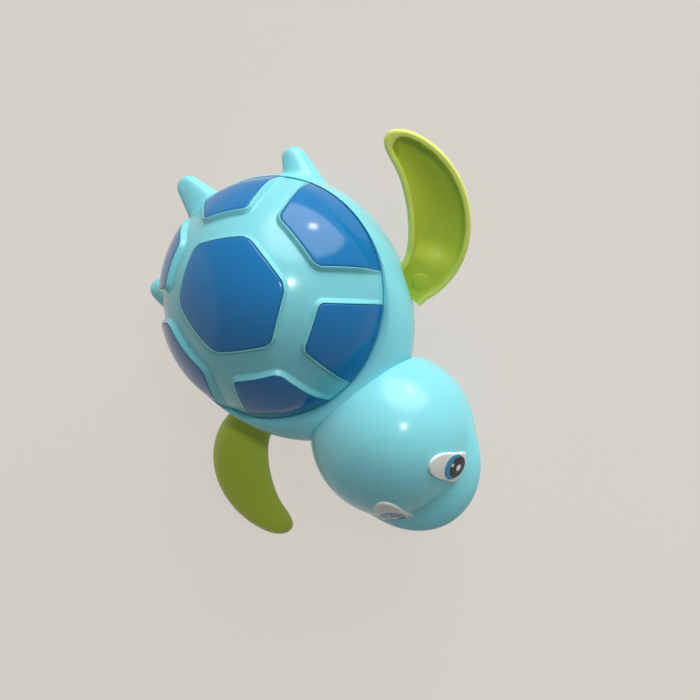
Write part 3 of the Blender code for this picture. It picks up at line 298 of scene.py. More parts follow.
def blended(tree, share, first, second):
    """Colour between two others, each a tone or another node's output."""
    first, second = [c if isinstance(c, bpy.types.NodeSocket) else (*c, 1.0) for c in (first, second)]
    mix = node(tree, "ShaderNodeMix", {"data_type": "RGBA"}, _0=share, _6=first, _7=second)
    return mix.outputs[2]


def surface(tree, shader, place, rough_low, rough_high, ripple, grain):
    """Uneven gloss, the slow ripple of a cooled moulding and a fine grain."""
    wear = node(tree, "ShaderNodeTexNoise", Vector=place, Scale=WEAR_SCALE, Detail=4.0)
    rough = node(tree, "ShaderNodeMapRange", Value=wear.outputs["Fac"], From_Min=NOISE_SPAN[0],
                 From_Max=NOISE_SPAN[1], To_Min=rough_low, To_Max=rough_high)
    tree.links.new(rough.outputs["Result"], shader.inputs["Roughness"])
    slow = node(tree, "ShaderNodeTexNoise", Vector=place, Scale=RIPPLE_SCALE, Detail=1.0)
    slow_bump = node(tree, "ShaderNodeBump", Height=slow.outputs["Fac"], Strength=ripple,
                     Distance=RIPPLE_HEIGHT)
    fine = node(tree, "ShaderNodeTexNoise", Vector=place, Scale=GRAIN_SCALE, Detail=2.0)
    fine_bump = node(tree, "ShaderNodeBump", Height=fine.outputs["Fac"], Strength=grain,
                     Distance=GRAIN_HEIGHT, Normal=slow_bump.outputs["Normal"])
    tree.links.new(fine_bump.outputs["Normal"], shader.inputs["Normal"])


def moulded_plastic(name, tones, rough, ripple=0.12, coat=0.0, gloss=0.5):
    material, tree, shader = blank_material(name)
    place = node(tree, "ShaderNodeTexCoord").outputs["Object"]
    tree.links.new(mottled(tree, place, tones, PLASTIC_DRIFT), shader.inputs["Base Color"])
    surface(tree, shader, place, *rough, ripple, 0.15)
    shader.inputs["Coat Weight"].default_value = coat
    shader.inputs["Coat Roughness"].default_value = COAT_ROUGHNESS
    shader.inputs["Specular IOR Level"].default_value = gloss
    return material


def paint_rim_highlight(material, tone):
    """Painted highlight: a paler tone where the mesh is marked as a thin rim, standing in for the light the
    rim catches.
    """
    tree = material.node_tree
    shader = tree.nodes["Principled BSDF"]
    colour = shader.inputs["Base Color"].links[0].from_socket
    highlight_mark = node(tree, "ShaderNodeAttribute", {"attribute_name": "rim"})
    tree.links.new(blended(tree, highlight_mark.outputs["Fac"], colour, tone), shader.inputs["Base Color"])


def turned_metal(name, tones, rough):
    material, tree, shader = blank_material(name)
    place = node(tree, "ShaderNodeTexCoord").outputs["Object"]
    tree.links.new(mottled(tree, place, tones, METAL_DRIFT), shader.inputs["Base Color"])
    surface(tree, shader, place, *rough, 0.05, 0.5)
    shader.inputs["Metallic"].default_value = 1.0
    return material


def head_direction(azimuth, elevation):
    """Direction from the head's centre, in degrees round it from the snout and up it."""
    turn, rise = math.radians(azimuth), math.radians(elevation)
    return Vector((math.sin(turn) * math.cos(rise), -math.cos(turn) * math.cos(rise), math.sin(rise)))


def disc_mask(tree, place, azimuth, elevation, radius):
    """1 within a radius of a point of the eye's surface and 0 outside it."""
    centre = (HEAD_CENTRE + head_direction(azimuth, elevation) * (HEAD_RADIUS + EYE_PROUD)) * MM
    gap = node(tree, "ShaderNodeVectorMath", {"operation": "DISTANCE"}, _0=place, _1=centre)
    edge = node(tree, "ShaderNodeMapRange", Value=gap.outputs["Value"],
                From_Min=(radius - PRINT_SOFTNESS / 2) * MM, From_Max=(radius + PRINT_SOFTNESS / 2) * MM,
                To_Min=1.0, To_Max=0.0)
    return edge.outputs["Result"]


def painted_eye():
    """White insert with a printed iris, pupil and two glints, the same on both sides."""
    material, tree, shader = blank_material("eye_white_printed")
    place = node(tree, "ShaderNodeTexCoord").outputs["Object"]
    split = node(tree, "ShaderNodeSeparateXYZ", Vector=place)
    side = node(tree, "ShaderNodeMath", {"operation": "ABSOLUTE"}, _0=split.outputs["X"])
    folded = node(tree, "ShaderNodeCombineXYZ", X=side.outputs["Value"], Y=split.outputs["Y"],
                  Z=split.outputs["Z"])
    colour = mottled(tree, place, EYE_TONES, EYE_DRIFT)
    layers = [(IRIS, IRIS_TONE), (PUPIL, PUPIL_TONE)] + [(glint, GLINT_TONE) for glint in GLINTS]
    for disc, tone in layers:
        colour = blended(tree, disc_mask(tree, folded.outputs["Vector"], *disc), colour, tone)
    tree.links.new(colour, shader.inputs["Base Color"])
    surface(tree, shader, place, 0.16, 0.26, 0.05, 0.1)
    return material


# Finishing a piece

def shade(mesh):
    """Smooth shading with the real corners kept sharp."""
    mesh.shade_smooth()
    mesh.set_sharp_from_angle(angle=math.radians(SHARP_ANGLE))


def finish_piece(name, bm, material, body, slot, *nodes):
    """Scale a bmesh to metres and make it a piece that stands for its CAD nodes."""
    bmesh.ops.scale(bm, vec=(MM, MM, MM), verts=bm.verts)
    mesh = bpy.data.meshes.new(name)
    bm.to_mesh(mesh)
    bm.free()
    mesh.materials.append(material)
    shade(mesh)
    piece = bpy.data.objects.new(name, mesh)
    bpy.context.scene.collection.objects.link(piece)
    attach(piece, body)
    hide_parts(*nodes)
    return piece


def spun(bm, line, steps, closed=False):
    """Turn a line of (radius, height) once round the axis."""
    verts = [bm.verts.new((radius, 0.0, height)) for radius, height in line]
    pairs = list(zip(verts, verts[1:]))
    if closed:
        pairs.append((verts[-1], verts[0]))
    edges = [bm.edges.new(pair) for pair in pairs]
    bmesh.ops.spin(bm, geom=verts + edges, cent=(0, 0, 0), axis=(0, 0, 1), angle=math.tau, steps=steps,
                   use_merge=True)
    bmesh.ops.remove_doubles(bm, verts=bm.verts, dist=0.0001)


def bezier(points, count):
    """Points along a curve with two ends and two handles."""
    corners = [Vector((x, y, 0.0)) for x, y in points]
    return [(p.x, p.y) for p in interpolate_bezier(*corners, count)]


def add_to(bm, other):
    """Add another bmesh's mesh to a bmesh and free it."""
    mesh = bpy.data.meshes.new("part")
    other.to_mesh(mesh)
    other.free()
    bm.from_mesh(mesh)
    bpy.data.meshes.remove(mesh)


def open_edges(bm):
    return [edge for edge in bm.edges if edge.is_boundary]


def all_of(bm):
    return bm.verts[:] + bm.edges[:] + bm.faces[:]


def held(share):
    """A share kept between 0 and 1."""
    return min(1.0, max(0.0, share))


def eased(share):
    """Smooth step from 0 to 1."""
    share = held(share)
    return share * share * (3 - 2 * share)


# Shell

def dome_height(radius):
    share = min(1.0, radius / RIM_RADIUS)
    return DOME_HEIGHT * (1.0 - share * share) ** DOME_POWER


def dome_line(offset, count):
    """Outline of the dome from its top to the rim, moved outwards by an offset."""
    line = []
    for i in range(count + 1):
        radius = RIM_RADIUS * math.sin(math.pi / 2 * i / count)
        place, normal = dome_frame(Vector((radius, 0.0, RIM_Z + dome_height(radius))))
        line.append((max(0.0, place.x + normal.x * offset), place.z + normal.z * offset))
    line[0] = (0.0, line[0][1])
    return line


def dome_frame(aim):
    """Point of the dome on the ray from its focus through a point, and the normal there."""
    ray = (aim - FOCUS).normalized()
    flat = max(1e-6, math.hypot(ray.x, ray.y))
    low, high = NEAR, min(FAR, RIM_RADIUS / flat)
    if FOCUS.z + ray.z * high > RIM_Z:
        for _ in range(SEARCH_STEPS):
            middle = (low + high) / 2
            if FOCUS.z + ray.z * middle < RIM_Z + dome_height(flat * middle):
                low = middle
            else:
                high = middle
    place = FOCUS + ray * high
    share = min(0.99999, flat * high / RIM_RADIUS)
    fall = DOME_HEIGHT * DOME_POWER * (1 - share * share) ** (DOME_POWER - 1) * 2 * share / RIM_RADIUS
    if place.z <= RIM_Z:
        return place, Vector((ray.x, ray.y, 0.0)).normalized()
    return place, Vector((ray.x / flat * fall, ray.y / flat * fall, 1.0)).normalized()


def on_dome(x, y):
    """Point of the dome over a place."""
    return Vector((x, y, RIM_Z + dome_height(math.hypot(x, y))))


def on_rim(angle):
    """Point at the dome's foot, in degrees from the turtle's left."""
    turn = math.radians(angle)
    return Vector((RIM_RADIUS * math.cos(turn), RIM_RADIUS * math.sin(turn), RIM_Z - DOME_FOOT))


def plate_outlines():
    """Corner points of the seven plates, each in order round its plate."""
    x, y = HEX_SIDE
    outlines = [[on_dome(0, HEX_FRONT), on_dome(-x, y), on_dome(-x, -y),
                 on_dome(0, -HEX_FRONT), on_dome(x, -y), on_dome(x, y)]]
    for sx in (1, -1):
        rim = [on_rim(SIDE_RIM_ANGLE * share) for share in (-1, -1 / 3, 1 / 3, 1)]
        x, y = SIDE_PLATE
        points = rim + [on_dome(x, y), on_dome(x, -y)]
        outlines.append([Vector((sx * p.x, p.y, p.z)) for p in points])
        first, last = END_RIM_ANGLES
        for sy in (-1, 1):
            rim = [on_rim(first + (last - first) * i / 3) for i in range(4)]
            points = rim + [on_dome(*END_PLATE_1), on_dome(*END_PLATE_2)]
            outlines.append([Vector((sx * p.x, sy * p.y, p.z)) for p in points])
    return outlines


def flat_plate(points, grow):
    """Plate outline as one flat face across the rays from the focus, with rounded corners."""
    centre = sum(points, Vector()) / len(points)
    outward = (centre - FOCUS).normalized()
    reach = (centre - FOCUS).length
    flat = []
    for p in points:
        ray = (p - FOCUS).normalized()
        flat.append(FOCUS + ray * reach / ray.dot(outward))
    middle = sum(flat, Vector()) / len(flat)
    bm = bmesh.new()
    for i, p in enumerate(flat):
        sides = []
        for a, b in ((flat[i - 1], p), (p, flat[(i + 1) % len(flat)])):
            side = (b - a).normalized().cross(outward)
            sides.append(side if side.dot(p - middle) > 0 else -side)
        bisector = (sides[0] + sides[1]).normalized()
        bm.verts.new(p + bisector * grow / max(0.4, bisector.dot(sides[0])))
    face = bm.faces.new(bm.verts[:])
    face.normal_update()
    if face.normal.dot(outward) < 0:
        bmesh.ops.reverse_faces(bm, faces=[face])
    bmesh.ops.bevel(bm, geom=bm.verts[:], offset=PLATE_CORNER + CORNER_GROWTH * grow, segments=CORNER_STEPS,
                    profile=0.5, affect="VERTICES", material=-1)
    long_edges = [edge for edge in bm.edges if edge.calc_length() > LONG_EDGE]
    bmesh.ops.subdivide_edges(bm, edges=long_edges, cuts=EDGE_CUTS)
    return bm, max(bm.faces, key=lambda f: f.calc_area())


def inset_steps(bm, face, steps, height):
    """Inset a face by a list of (distance in, height), noting each new ring's height."""
    done = 0.0
    for vert in face.verts:
        vert[height] = steps[0][1]
    for distance, rise in steps[1:]:
        bmesh.ops.inset_region(bm, faces=[face], thickness=distance - done, use_boundary=True,
                               use_even_offset=True)
        for vert in face.verts:
            vert[height] = rise
        done = distance


def lift_to_dome(bm, height):
    """Put each point at its height over the dome; plates sink towards the rim."""
    for vert in bm.verts:
        place, normal = dome_frame(vert.co)
        near = (math.hypot(place.x, place.y) - FADE_RADIUS) / (RIM_RADIUS - FADE_RADIUS)
        sink = 1.0 - (1.0 - RIM_SHARE) * eased(near)
        vert.co = place + normal * (vert[height] * sink if vert[height] > 0 else vert[height])


def trim_at_rim(bm, foot_z):
    """Cut what stands past the rim's wall, then run the cut edge down the wall."""
    angles = [math.atan2(v.co.y, v.co.x) for v in bm.verts if math.hypot(v.co.x, v.co.y) > TRIM_RADIUS]
    if not angles:
        return
    centre = math.atan2(sum(math.sin(a) for a in angles), sum(math.cos(a) for a in angles))
    for i in range(-TRIM_CUTS, TRIM_CUTS + 1):
        turn = centre + math.radians(TRIM_TURN) * i
        out = Vector((math.cos(turn), math.sin(turn), 0.0))
        bmesh.ops.bisect_plane(bm, geom=all_of(bm), dist=0.001,
                               plane_co=out * TRIM_RADIUS, plane_no=out, clear_outer=True)
    rim = [e for e in open_edges(bm)
           if all(math.hypot(v.co.x, v.co.y) > TRIM_RADIUS - 0.03 and v.co.z > foot_z for v in e.verts)]
    grown = bmesh.ops.extrude_edge_only(bm, edges=rim)
    for item in grown["geom"]:
        if isinstance(item, bmesh.types.BMVert):
            item.co.z = foot_z


def add_bezel(bm, points):
    """Raised turquoise lip round one plate, with a soft foot on the dome."""
    ring, face = flat_plate(points, BEZEL_REACH)
    height = ring.verts.layers.float.new("height")
    inset_steps(ring, face, BEZEL_STEPS, height)
    bmesh.ops.delete(ring, geom=[face], context="FACES")
    lift_to_dome(ring, height)
    trim_at_rim(ring, BEZEL_FOOT_Z)
    add_to(bm, ring)


def add_pad(bm, points):
    """Blue top of one plate, crowned with the dome and rounded at its edge."""
    pad, face = flat_plate(points, -PAD_GAP)
    height = pad.verts.layers.float.new("height")
    inset_steps(pad, face, PAD_STEPS, height)
    centre = face.calc_center_median()
    for i in range(PAD_RINGS, 1, -1):
        bmesh.ops.inset_region(pad, faces=[face], thickness=0.0, use_boundary=True)
        bmesh.ops.scale(pad, vec=[(i - 1) / i] * 3, space=Matrix.Translation(-centre), verts=face.verts[:])
        for vert in face.verts:
            vert[height] = PAD_STEPS[-1][1]
    middle = bmesh.ops.poke(pad, faces=[face])["verts"][0]
    middle[height] = PAD_STEPS[-1][1]
    lift_to_dome(pad, height)
    trim_at_rim(pad, PAD_FOOT_Z)
    add_to(bm, pad)


def build_shell(turquoise, blue):
    bm = bmesh.new()
    outside = dome_line(0.0, OUTSIDE_STEPS)
    outside[-1] = (TRIM_RADIUS, RIM_Z - 0.1)
    inside = dome_line(-DOME_WALL, INSIDE_STEPS)[::-1]
    foot = [(TRIM_RADIUS, RIM_Z - DOME_FOOT), (RIM_RADIUS - DOME_WALL, RIM_Z - DOME_FOOT)]
    spun(bm, outside + foot + inside, DOME_STEPS)
    bmesh.ops.recalc_face_normals(bm, faces=bm.faces)
    for points in plate_outlines():
        add_bezel(bm, points)
    finish_piece("shell_dome", bm, turquoise, "hull", "turquoise_shell", "carapace")
    bm = bmesh.new()
    for points in plate_outlines():
        add_pad(bm, points)
    finish_piece("shell_plates", bm, blue, "hull", "blue_plates", "scute_liner")


# Hull

def bowl_radius(height):
    """Half width of the hull at a height."""
    share = (BELLY_RADIUS / HALF_WIDTH) ** BOWL_POWER
    depth = SHOULDER_Z / (1.0 - share) ** (1.0 / BOWL_POWER)
    fall = max(0.0, SHOULDER_Z - height) / depth
    return HALF_WIDTH * (1.0 - fall ** BOWL_POWER) ** (1.0 / BOWL_POWER)


def bowl_line(top, bottom, count):
    """Side of the hull between two heights as (radius, height)."""
    return [(bowl_radius(z), z) for z in (top + (bottom - top) * i / count for i in range(count + 1))]


def collar_line():
    """Rounded collar from the groove's wall over the crest to the hull's shoulder."""
    width = HALF_WIDTH - GROOVE_RADIUS
    crest = (GROOVE_RADIUS + 0.3 * width, CREST_Z)
    line = [(GROOVE_RADIUS, LEDGE_Z + 0.1)]
    line += bezier(((GROOVE_RADIUS, CREST_Z - 1.0), (GROOVE_RADIUS, CREST_Z - 0.3),
                    (GROOVE_RADIUS + 0.1 * width, CREST_Z), crest), COLLAR_STEPS[0])
    line += bezier((crest, (GROOVE_RADIUS + 0.5 * width, CREST_Z),
                    (HALF_WIDTH, SHOULDER_Z + 4.0), (HALF_WIDTH, SHOULDER_Z)), COLLAR_STEPS[1])[1:]
    return line


def draw_out(bm, follow, inset):
    """Stretch the turned hull to its plan, longer in front, with its wall behind the flat front."""
    for vert in bm.verts:
        length = FRONT_LENGTH if vert.co.y < 0 else BACK_LENGTH
        share = vert[follow]
        stretch = 1.0 + (length / HALF_WIDTH - 1.0) * share
        vert.co.y = vert.co.y * stretch - HULL_SHIFT * share * vert.co.z / RIM_Z
        if vert[inset] > 0:
            vert.co.y = max(vert.co.y, HEAD_FACE_Y + vert[inset])


def hull_part(outer, inner):
    """Turn an outer and an inner line into a walled part of the hull with a flat front."""
    bm = bmesh.new()
    follow = bm.verts.layers.float.new("follow")
    inset = bm.verts.layers.float.new("inset")
    verts = []
    for line, depth in ((outer, 0.0), (inner, HULL_WALL)):
        for radius, height in line:
            vert = bm.verts.new((radius, 0.0, height))
            if height < LEDGE_Z - LEDGE_THICKNESS - 0.1 or depth == 0.0:
                vert[follow] = held((radius - GROOVE_RADIUS) / (HALF_WIDTH - GROOVE_RADIUS))
            if height < SHOULDER_Z:
                vert[follow] = 1.0
            vert[inset] = depth
            verts.append(vert)
    edges = []
    for i, vert in enumerate(verts):
        following = verts[(i + 1) % len(verts)]
        if vert.co.x > 0 or following.co.x > 0:
            edges.append(bm.edges.new((vert, following)))
    bmesh.ops.spin(bm, geom=verts + edges, cent=(0, 0, 0), axis=(0, 0, 1), angle=math.tau, steps=HULL_STEPS,
                   use_merge=True)
    bmesh.ops.remove_doubles(bm, verts=bm.verts, dist=0.0001)
    draw_out(bm, follow, inset)
    bmesh.ops.bisect_plane(bm, geom=all_of(bm), dist=0.01,
                           plane_co=(0, HEAD_FACE_Y, 0), plane_no=(0, -1, 0), clear_outer=True)
    bmesh.ops.holes_fill(bm, edges=open_edges(bm), sides=0)
    bmesh.ops.recalc_face_normals(bm, faces=bm.faces)
    return bm


def cone_gap(point, base, base_radius, tip, tip_radius):
    """Distance from a point to a round-ended cone, negative inside."""
    axis = tip - base
    length = axis.length
    lean = (base_radius - tip_radius) / length
    level = math.sqrt(1.0 - lean * lean)
    along = (point - base).dot(axis) / length
    beside = (point - base - axis * along / length).length
    reach = along * level - beside * lean
    if reach < 0:
        return math.hypot(beside, along) - base_radius
    if reach > level * length:
        return math.hypot(beside, along - length) - tip_radius
    return beside * level + along * lean - base_radius


def smooth_least(a, b, blend):
    """Lesser of two distances, with a rounded change from one to the other."""
    overlap = max(blend - abs(a - b), 0.0) / blend
    return min(a, b) - overlap * overlap * blend / 4


def raise_nub(bm, base, base_radius, tip, tip_radius):
    """Draw the hull's surface out over a round-ended cone, with a soft fillet."""
    axis = (tip - base).normalized()

    def near(point):
        gap = point - base
        beside = gap - axis * gap.dot(axis)
        return beside.length < base_radius + NUB_SKIRT and gap.dot(axis) > -NUB_BACK

    region = [edge for edge in bm.edges if all(near(v.co) and v.co.z < NUB_TOP_Z for v in edge.verts)
              and all(v.normal.dot(axis) > NUB_FACING for v in edge.verts)]
    bmesh.ops.subdivide_edges(bm, edges=region, cuts=2, use_grid_fill=True)
    bm.normal_update()
    moves = []
    for vert in bm.verts:
        lean = vert.normal.dot(axis)
        ease = eased((NUB_TOP_Z - vert.co.z) / NUB_EASE)
        if lean < NUB_FACING or ease <= 0 or not near(vert.co):
            continue
        low, high = 0.0, NUB_REACH
        start = vert.co.copy()
        if smooth_least(0.0, cone_gap(start, base, base_radius, tip, tip_radius), NUB_BLEND) >= -1e-6:
            continue
        for _ in range(SEARCH_STEPS):
            middle = (low + high) / 2
            gap = cone_gap(start + axis * middle, base, base_radius, tip, tip_radius)
            if smooth_least(middle * lean, gap, NUB_BLEND) < 0:
                low = middle
            else:
                high = middle
        moves.append((vert, axis * low * ease))
    for vert, move in moves:
        vert.co += move
    moved = [vert for vert, _ in moves]
    bmesh.ops.smooth_vert(bm, verts=moved, factor=0.3, use_axis_x=True, use_axis_y=True, use_axis_z=True)


def seat_cutter():
    """Two round seats for the flippers in the hull's sides."""
    bm = bmesh.new()
    for side in (1, -1):
        place = Matrix.Translation(SHAFT_POINT + Vector((side * (SEAT_X + SEAT_DEPTH / 2), 0, 0)))
        bmesh.ops.create_cone(bm, cap_ends=True, segments=SEAT_STEPS, radius1=SEAT_RADIUS,
                              radius2=SEAT_RADIUS, depth=SEAT_DEPTH, matrix=place @ ACROSS)
    mesh = bpy.data.meshes.new("flipper_seats")
    bmesh.ops.scale(bm, vec=(MM, MM, MM), verts=bm.verts)
    bm.to_mesh(mesh)
    bm.free()
    return bpy.data.objects.new("flipper_seats", mesh)


def cut_away(piece, cutter):
    """Subtract a cutter from a finished piece's mesh."""
    scene = bpy.context.scene
    scene.collection.objects.link(cutter)
    modifier = piece.modifiers.new("seat", "BOOLEAN")
    modifier.object = cutter
    modifier.solver = "EXACT"
    result = bpy.data.meshes.new_from_object(piece.evaluated_get(bpy.context.evaluated_depsgraph_get()))
    piece.modifiers.clear()
    piece.data = result
    shade(result)
    bpy.data.objects.remove(cutter)


def hull_side(y, z):
    """Half width of the hull's outside at a place along it and a height."""
    length = FRONT_LENGTH if y < 0 else BACK_LENGTH
    along = (y + HULL_SHIFT * z / RIM_Z) * HALF_WIDTH / length
    return math.sqrt(max(0.0, bowl_radius(z) ** 2 - along ** 2))


def line_seats(piece):
    """Line the flipper seats with a cup that ends just under the hull's surface."""
    bm = bmesh.new()
    bm.from_mesh(piece.data)
    floor = [(CUP_HOLE + (SEAT_RADIUS - CUP_HOLE) * i / CUP_RINGS, SEAT_X - CUP_OVERLAP)
             for i in range(CUP_RINGS + 1)]
    wall = [(SEAT_RADIUS, HALF_WIDTH), (SEAT_RADIUS + CUP_WALL, HALF_WIDTH)]
    back = [(SEAT_RADIUS + CUP_WALL, SEAT_X - CUP_WALL), (CUP_HOLE, SEAT_X - CUP_WALL - 1.0)]
    for side in (1, -1):
        cup = bmesh.new()
        spun(cup, floor + wall + back, SEAT_STEPS, closed=True)
        bmesh.ops.transform(cup, matrix=Matrix.Translation(SHAFT_POINT) @ ACROSS, verts=cup.verts)
        for vert in cup.verts:
            vert.co.x = min(vert.co.x, hull_side(vert.co.y, vert.co.z) - CUP_SINK)
        bmesh.ops.scale(cup, vec=(side * MM, MM, MM), verts=cup.verts)
        bmesh.ops.recalc_face_normals(cup, faces=cup.faces)
        add_to(bm, cup)
    bm.to_mesh(piece.data)
    bm.free()
    shade(piece.data)


def build_upper_hull(turquoise):
    """Collar, sides and nubs, with a ledge inside that carries the shell."""
    seam = SEAM_Z + SEAM_GAP / 2
    edge = bowl_radius(seam)
    side = bowl_line(SHOULDER_Z, seam + 0.5, SIDE_STEPS)[1:]
    side += [(edge - inset, seam + rise) for inset, rise in SEAM_ROUND]
    ledge_under = LEDGE_Z - LEDGE_THICKNESS
    inner = [(r - HULL_WALL, z) for r, z in bowl_line(ledge_under - 2.0, seam, WALL_STEPS)][::-1]
    inner += [(LEDGE_RADIUS, ledge_under), (LEDGE_RADIUS, LEDGE_Z), (GROOVE_RADIUS - 0.1, LEDGE_Z)]
    bm = hull_part(collar_line() + side, inner)
    for nub in NUBS:
        raise_nub(bm, *nub)
    upper = finish_piece("hull_upper", bm, turquoise, "hull", "turquoise_shell", "upper_body")
    cut_away(upper, seat_cutter())
    line_seats(upper)


def build_lower_hull(turquoise):
    """Belly half, from the seam down to the flat that the toy stands on."""
    seam = SEAM_Z - SEAM_GAP / 2
    edge = bowl_radius(seam)
    outer = [(edge - inset, seam - drop) for inset, drop in reversed(SEAM_ROUND)]
    outer += bowl_line(seam - 0.5, 0.5, SIDE_STEPS)
    outer += [(BELLY_RADIUS + out, height) for out, height in BELLY_ROUND]
    outer += [(0.0, 0.0)]
    inner = [(0.0, HULL_WALL), (BELLY_RADIUS - 1.0, HULL_WALL)]
    inner += [(r - HULL_WALL, z) for r, z in bowl_line(3.0, seam, WALL_STEPS)]
    bm = hull_part(outer, inner)
    finish_piece("hull_lower", bm, turquoise, "hull", "turquoise_shell", "lower_body")


# Head

def muzzle_reach(direction):
    """Distance from the ball's centre to the muzzle's surface along a direction."""
    low, high = 0.0, FAR
    for _ in range(SEARCH_STEPS):
        middle = (low + high) / 2
        point = direction * middle - MUZZLE_OFFSET
        half = (*MUZZLE_HALF, MUZZLE_RISE if point.z > 0 else MUZZLE_FALL)
        inside = sum((place / size) ** 2 for place, size in zip(point, half)) < 1
        low, high = (middle, high) if inside else (low, middle)
    return low


def build_head(turquoise):
    """Ball and muzzle as one skin, cut flat where it meets the hull."""
    bm = bmesh.new()
    bmesh.ops.create_uvsphere(bm, u_segments=HEAD_SEGMENTS[0], v_segments=HEAD_SEGMENTS[1], radius=1.0)
    for vert in bm.verts:
        out = vert.co.normalized()
        reach = muzzle_reach(out)
        front = max(0.0, -out.y) ** 2
        blend = MUZZLE_BLEND * (1.0 - front) + MUZZLE_CREASE * front
        vert.co = HEAD_CENTRE + out * -smooth_least(-HEAD_RADIUS, -reach, blend)
    bmesh.ops.bisect_plane(bm, geom=all_of(bm), dist=0.01,
                           plane_co=(0, HEAD_FACE_Y - NECK_GAP, 0), plane_no=(0, 1, 0), clear_outer=True)
    bmesh.ops.holes_fill(bm, edges=open_edges(bm), sides=0)
    bmesh.ops.recalc_face_normals(bm, faces=bm.faces)
    finish_piece("head", bm, turquoise, "hull", "turquoise_shell", "head_ball", "muzzle")


def eye_curve():
    """Smooth closed line through the eye's outline, as directions from the ball's centre."""
    corners = [head_direction(*place) for place in EYE_OUTLINE]
    count = len(corners)
    line = []
    for i, corner in enumerate(corners):
        after = corners[(i + 1) % count]
        lead = (after - corners[i - 1]) / 6
        trail = (corners[(i + 2) % count] - corner) / 6
        line += interpolate_bezier(corner, corner + lead, after - trail, after, EYE_CURVE_STEPS)[:-1]
    return line


def build_eye(name, side, node_name, white):
    """Raised insert that follows the ball, rounded at its edge."""
    middle = head_direction(*EYE_MIDDLE)
    bm = bmesh.new()
    face = bm.faces.new([bm.verts.new(out.normalized() * (HEAD_RADIUS - EYE_SUNK)) for out in eye_curve()])
    for i, proud in enumerate(EYE_EDGE):
        bmesh.ops.inset_region(bm, faces=[face], thickness=0.0, use_boundary=True)
        radius = HEAD_RADIUS + proud
        step = EYE_EDGE_STEP if i else 0.0
        for vert in face.verts:
            out = vert.co.normalized()
            sideways = (out - middle * out.dot(middle)).normalized()
            vert.co = (out * radius - sideways * step).normalized() * radius
    for i in range(EYE_RINGS, 1, -1):
        bmesh.ops.inset_region(bm, faces=[face], thickness=0.0, use_boundary=True)
        for vert in face.verts:
            out = vert.co.normalized()
            vert.co = (middle + (out - middle) * (i - 1) / i).normalized() * (HEAD_RADIUS + EYE_PROUD)
    centre = bmesh.ops.poke(bm, faces=[face])["verts"][0]
    centre.co = centre.co.normalized() * (HEAD_RADIUS + EYE_PROUD)
    bmesh.ops.translate(bm, vec=HEAD_CENTRE, verts=bm.verts)
    if side < 0:
        bmesh.ops.scale(bm, vec=(-1, 1, 1), verts=bm.verts)
    bmesh.ops.holes_fill(bm, edges=open_edges(bm), sides=0)
    bmesh.ops.recalc_face_normals(bm, faces=bm.faces)
    finish_piece(name, bm, white, "hull", "white_eyes", node_name)


# Flippers

def hollow_height(inward, half, fade):
    """Height of the hollow face at a distance in from the paddle's edge."""
    rise = RIM_RISE * (ROOT_RISE + (1.0 - ROOT_RISE) * fade)
    if inward < RIM_ROUND:
        return rise * math.sqrt(max(0.0, 1.0 - (1.0 - inward / RIM_ROUND) ** 2))
    past_rim = inward - FLIPPER_RIM
    floor = held(past_rim / max(0.5, half - FLIPPER_RIM))
    drop = WALL_SHARE * eased(past_rim / WALL_RUN) + (1.0 - WALL_SHARE) * (1.0 - (1.0 - floor) ** 2)
    return rise - (rise + (FLIPPER_DEPTH - FLIPPER_WALL) * fade) * drop


def paddle_section(half, tip, share):
    """Closed section of the paddle as (sideways, normal, share of painted rim highlight), hollow side up."""
    width = half * (1.0 - tip ** TIP_POWER) ** (1.0 / TIP_POWER)
    fade = eased((share - HOLLOW_SPAN[0]) / (HOLLOW_SPAN[1] - HOLLOW_SPAN[0]))
    section = []
    for i in range(SECTION_STEPS + 1):
        across = -math.cos(math.pi * i / SECTION_STEPS)
        reach = abs(across * width / half) ** TIP_POWER + tip ** TIP_POWER
        inward = half * (1.0 - reach ** (1.0 / TIP_POWER))
        # Painted highlight on the rim, fading out in from the edge
        rim = 1.0 - held((inward - FLIPPER_RIM) / RIM_HIGHLIGHT_FADE)
        height = hollow_height(max(0.0, inward), half, fade) * (1.0 - TIP_DROP * tip ** 2)
        section.append((across * width, height, rim))
    depth = max(0.02, FLIPPER_DEPTH * math.sqrt(1.0 - tip ** 2))
    for i in range(1, BACK_STEPS):
        turn = math.pi * i / BACK_STEPS
        # Weaker painted highlight towards the back's edges
        rim = EDGE_HIGHLIGHT_TINT * abs(math.cos(turn)) ** EDGE_HIGHLIGHT_POWER
        section.append((width * math.cos(turn), -depth * math.sin(turn), rim))
    return section


def paddle_stations():
    """Centre line of the paddle as (place, direction, share), closer set towards the tip."""
    line = bezier(FLIPPER_LINE, LINE_STEPS + 1)
    stations = [((FLIPPER_START_X, FLIPPER_LINE[0][1]), 0.0)]
    for i in range(STATIONS + 1):
        share = math.sin(math.pi / 2 * i / STATIONS)
        stations.append((line[round(share * LINE_STEPS)], share))
    made = []
    for i, (place, share) in enumerate(stations):
        before = stations[max(0, i - 1)][0]
        after = stations[min(len(stations) - 1, i + 1)][0]
        made.append((place, Vector((after[0] - before[0], after[1] - before[1])).normalized(), share))
    return made


def grow_ring(bm, ring, edges):
    """Extrude a closed ring of points and give the new ring in the same order."""
    grown = bmesh.ops.extrude_edge_only(bm, edges=edges)["geom"]
    edges = [item for item in grown if isinstance(item, bmesh.types.BMEdge)]
    fresh = {item for item in grown if isinstance(item, bmesh.types.BMVert)}
    following = []
    for vert in ring:
        following.append(next(e.other_vert(vert) for e in vert.link_edges if e.other_vert(vert) in fresh))
    return following, edges


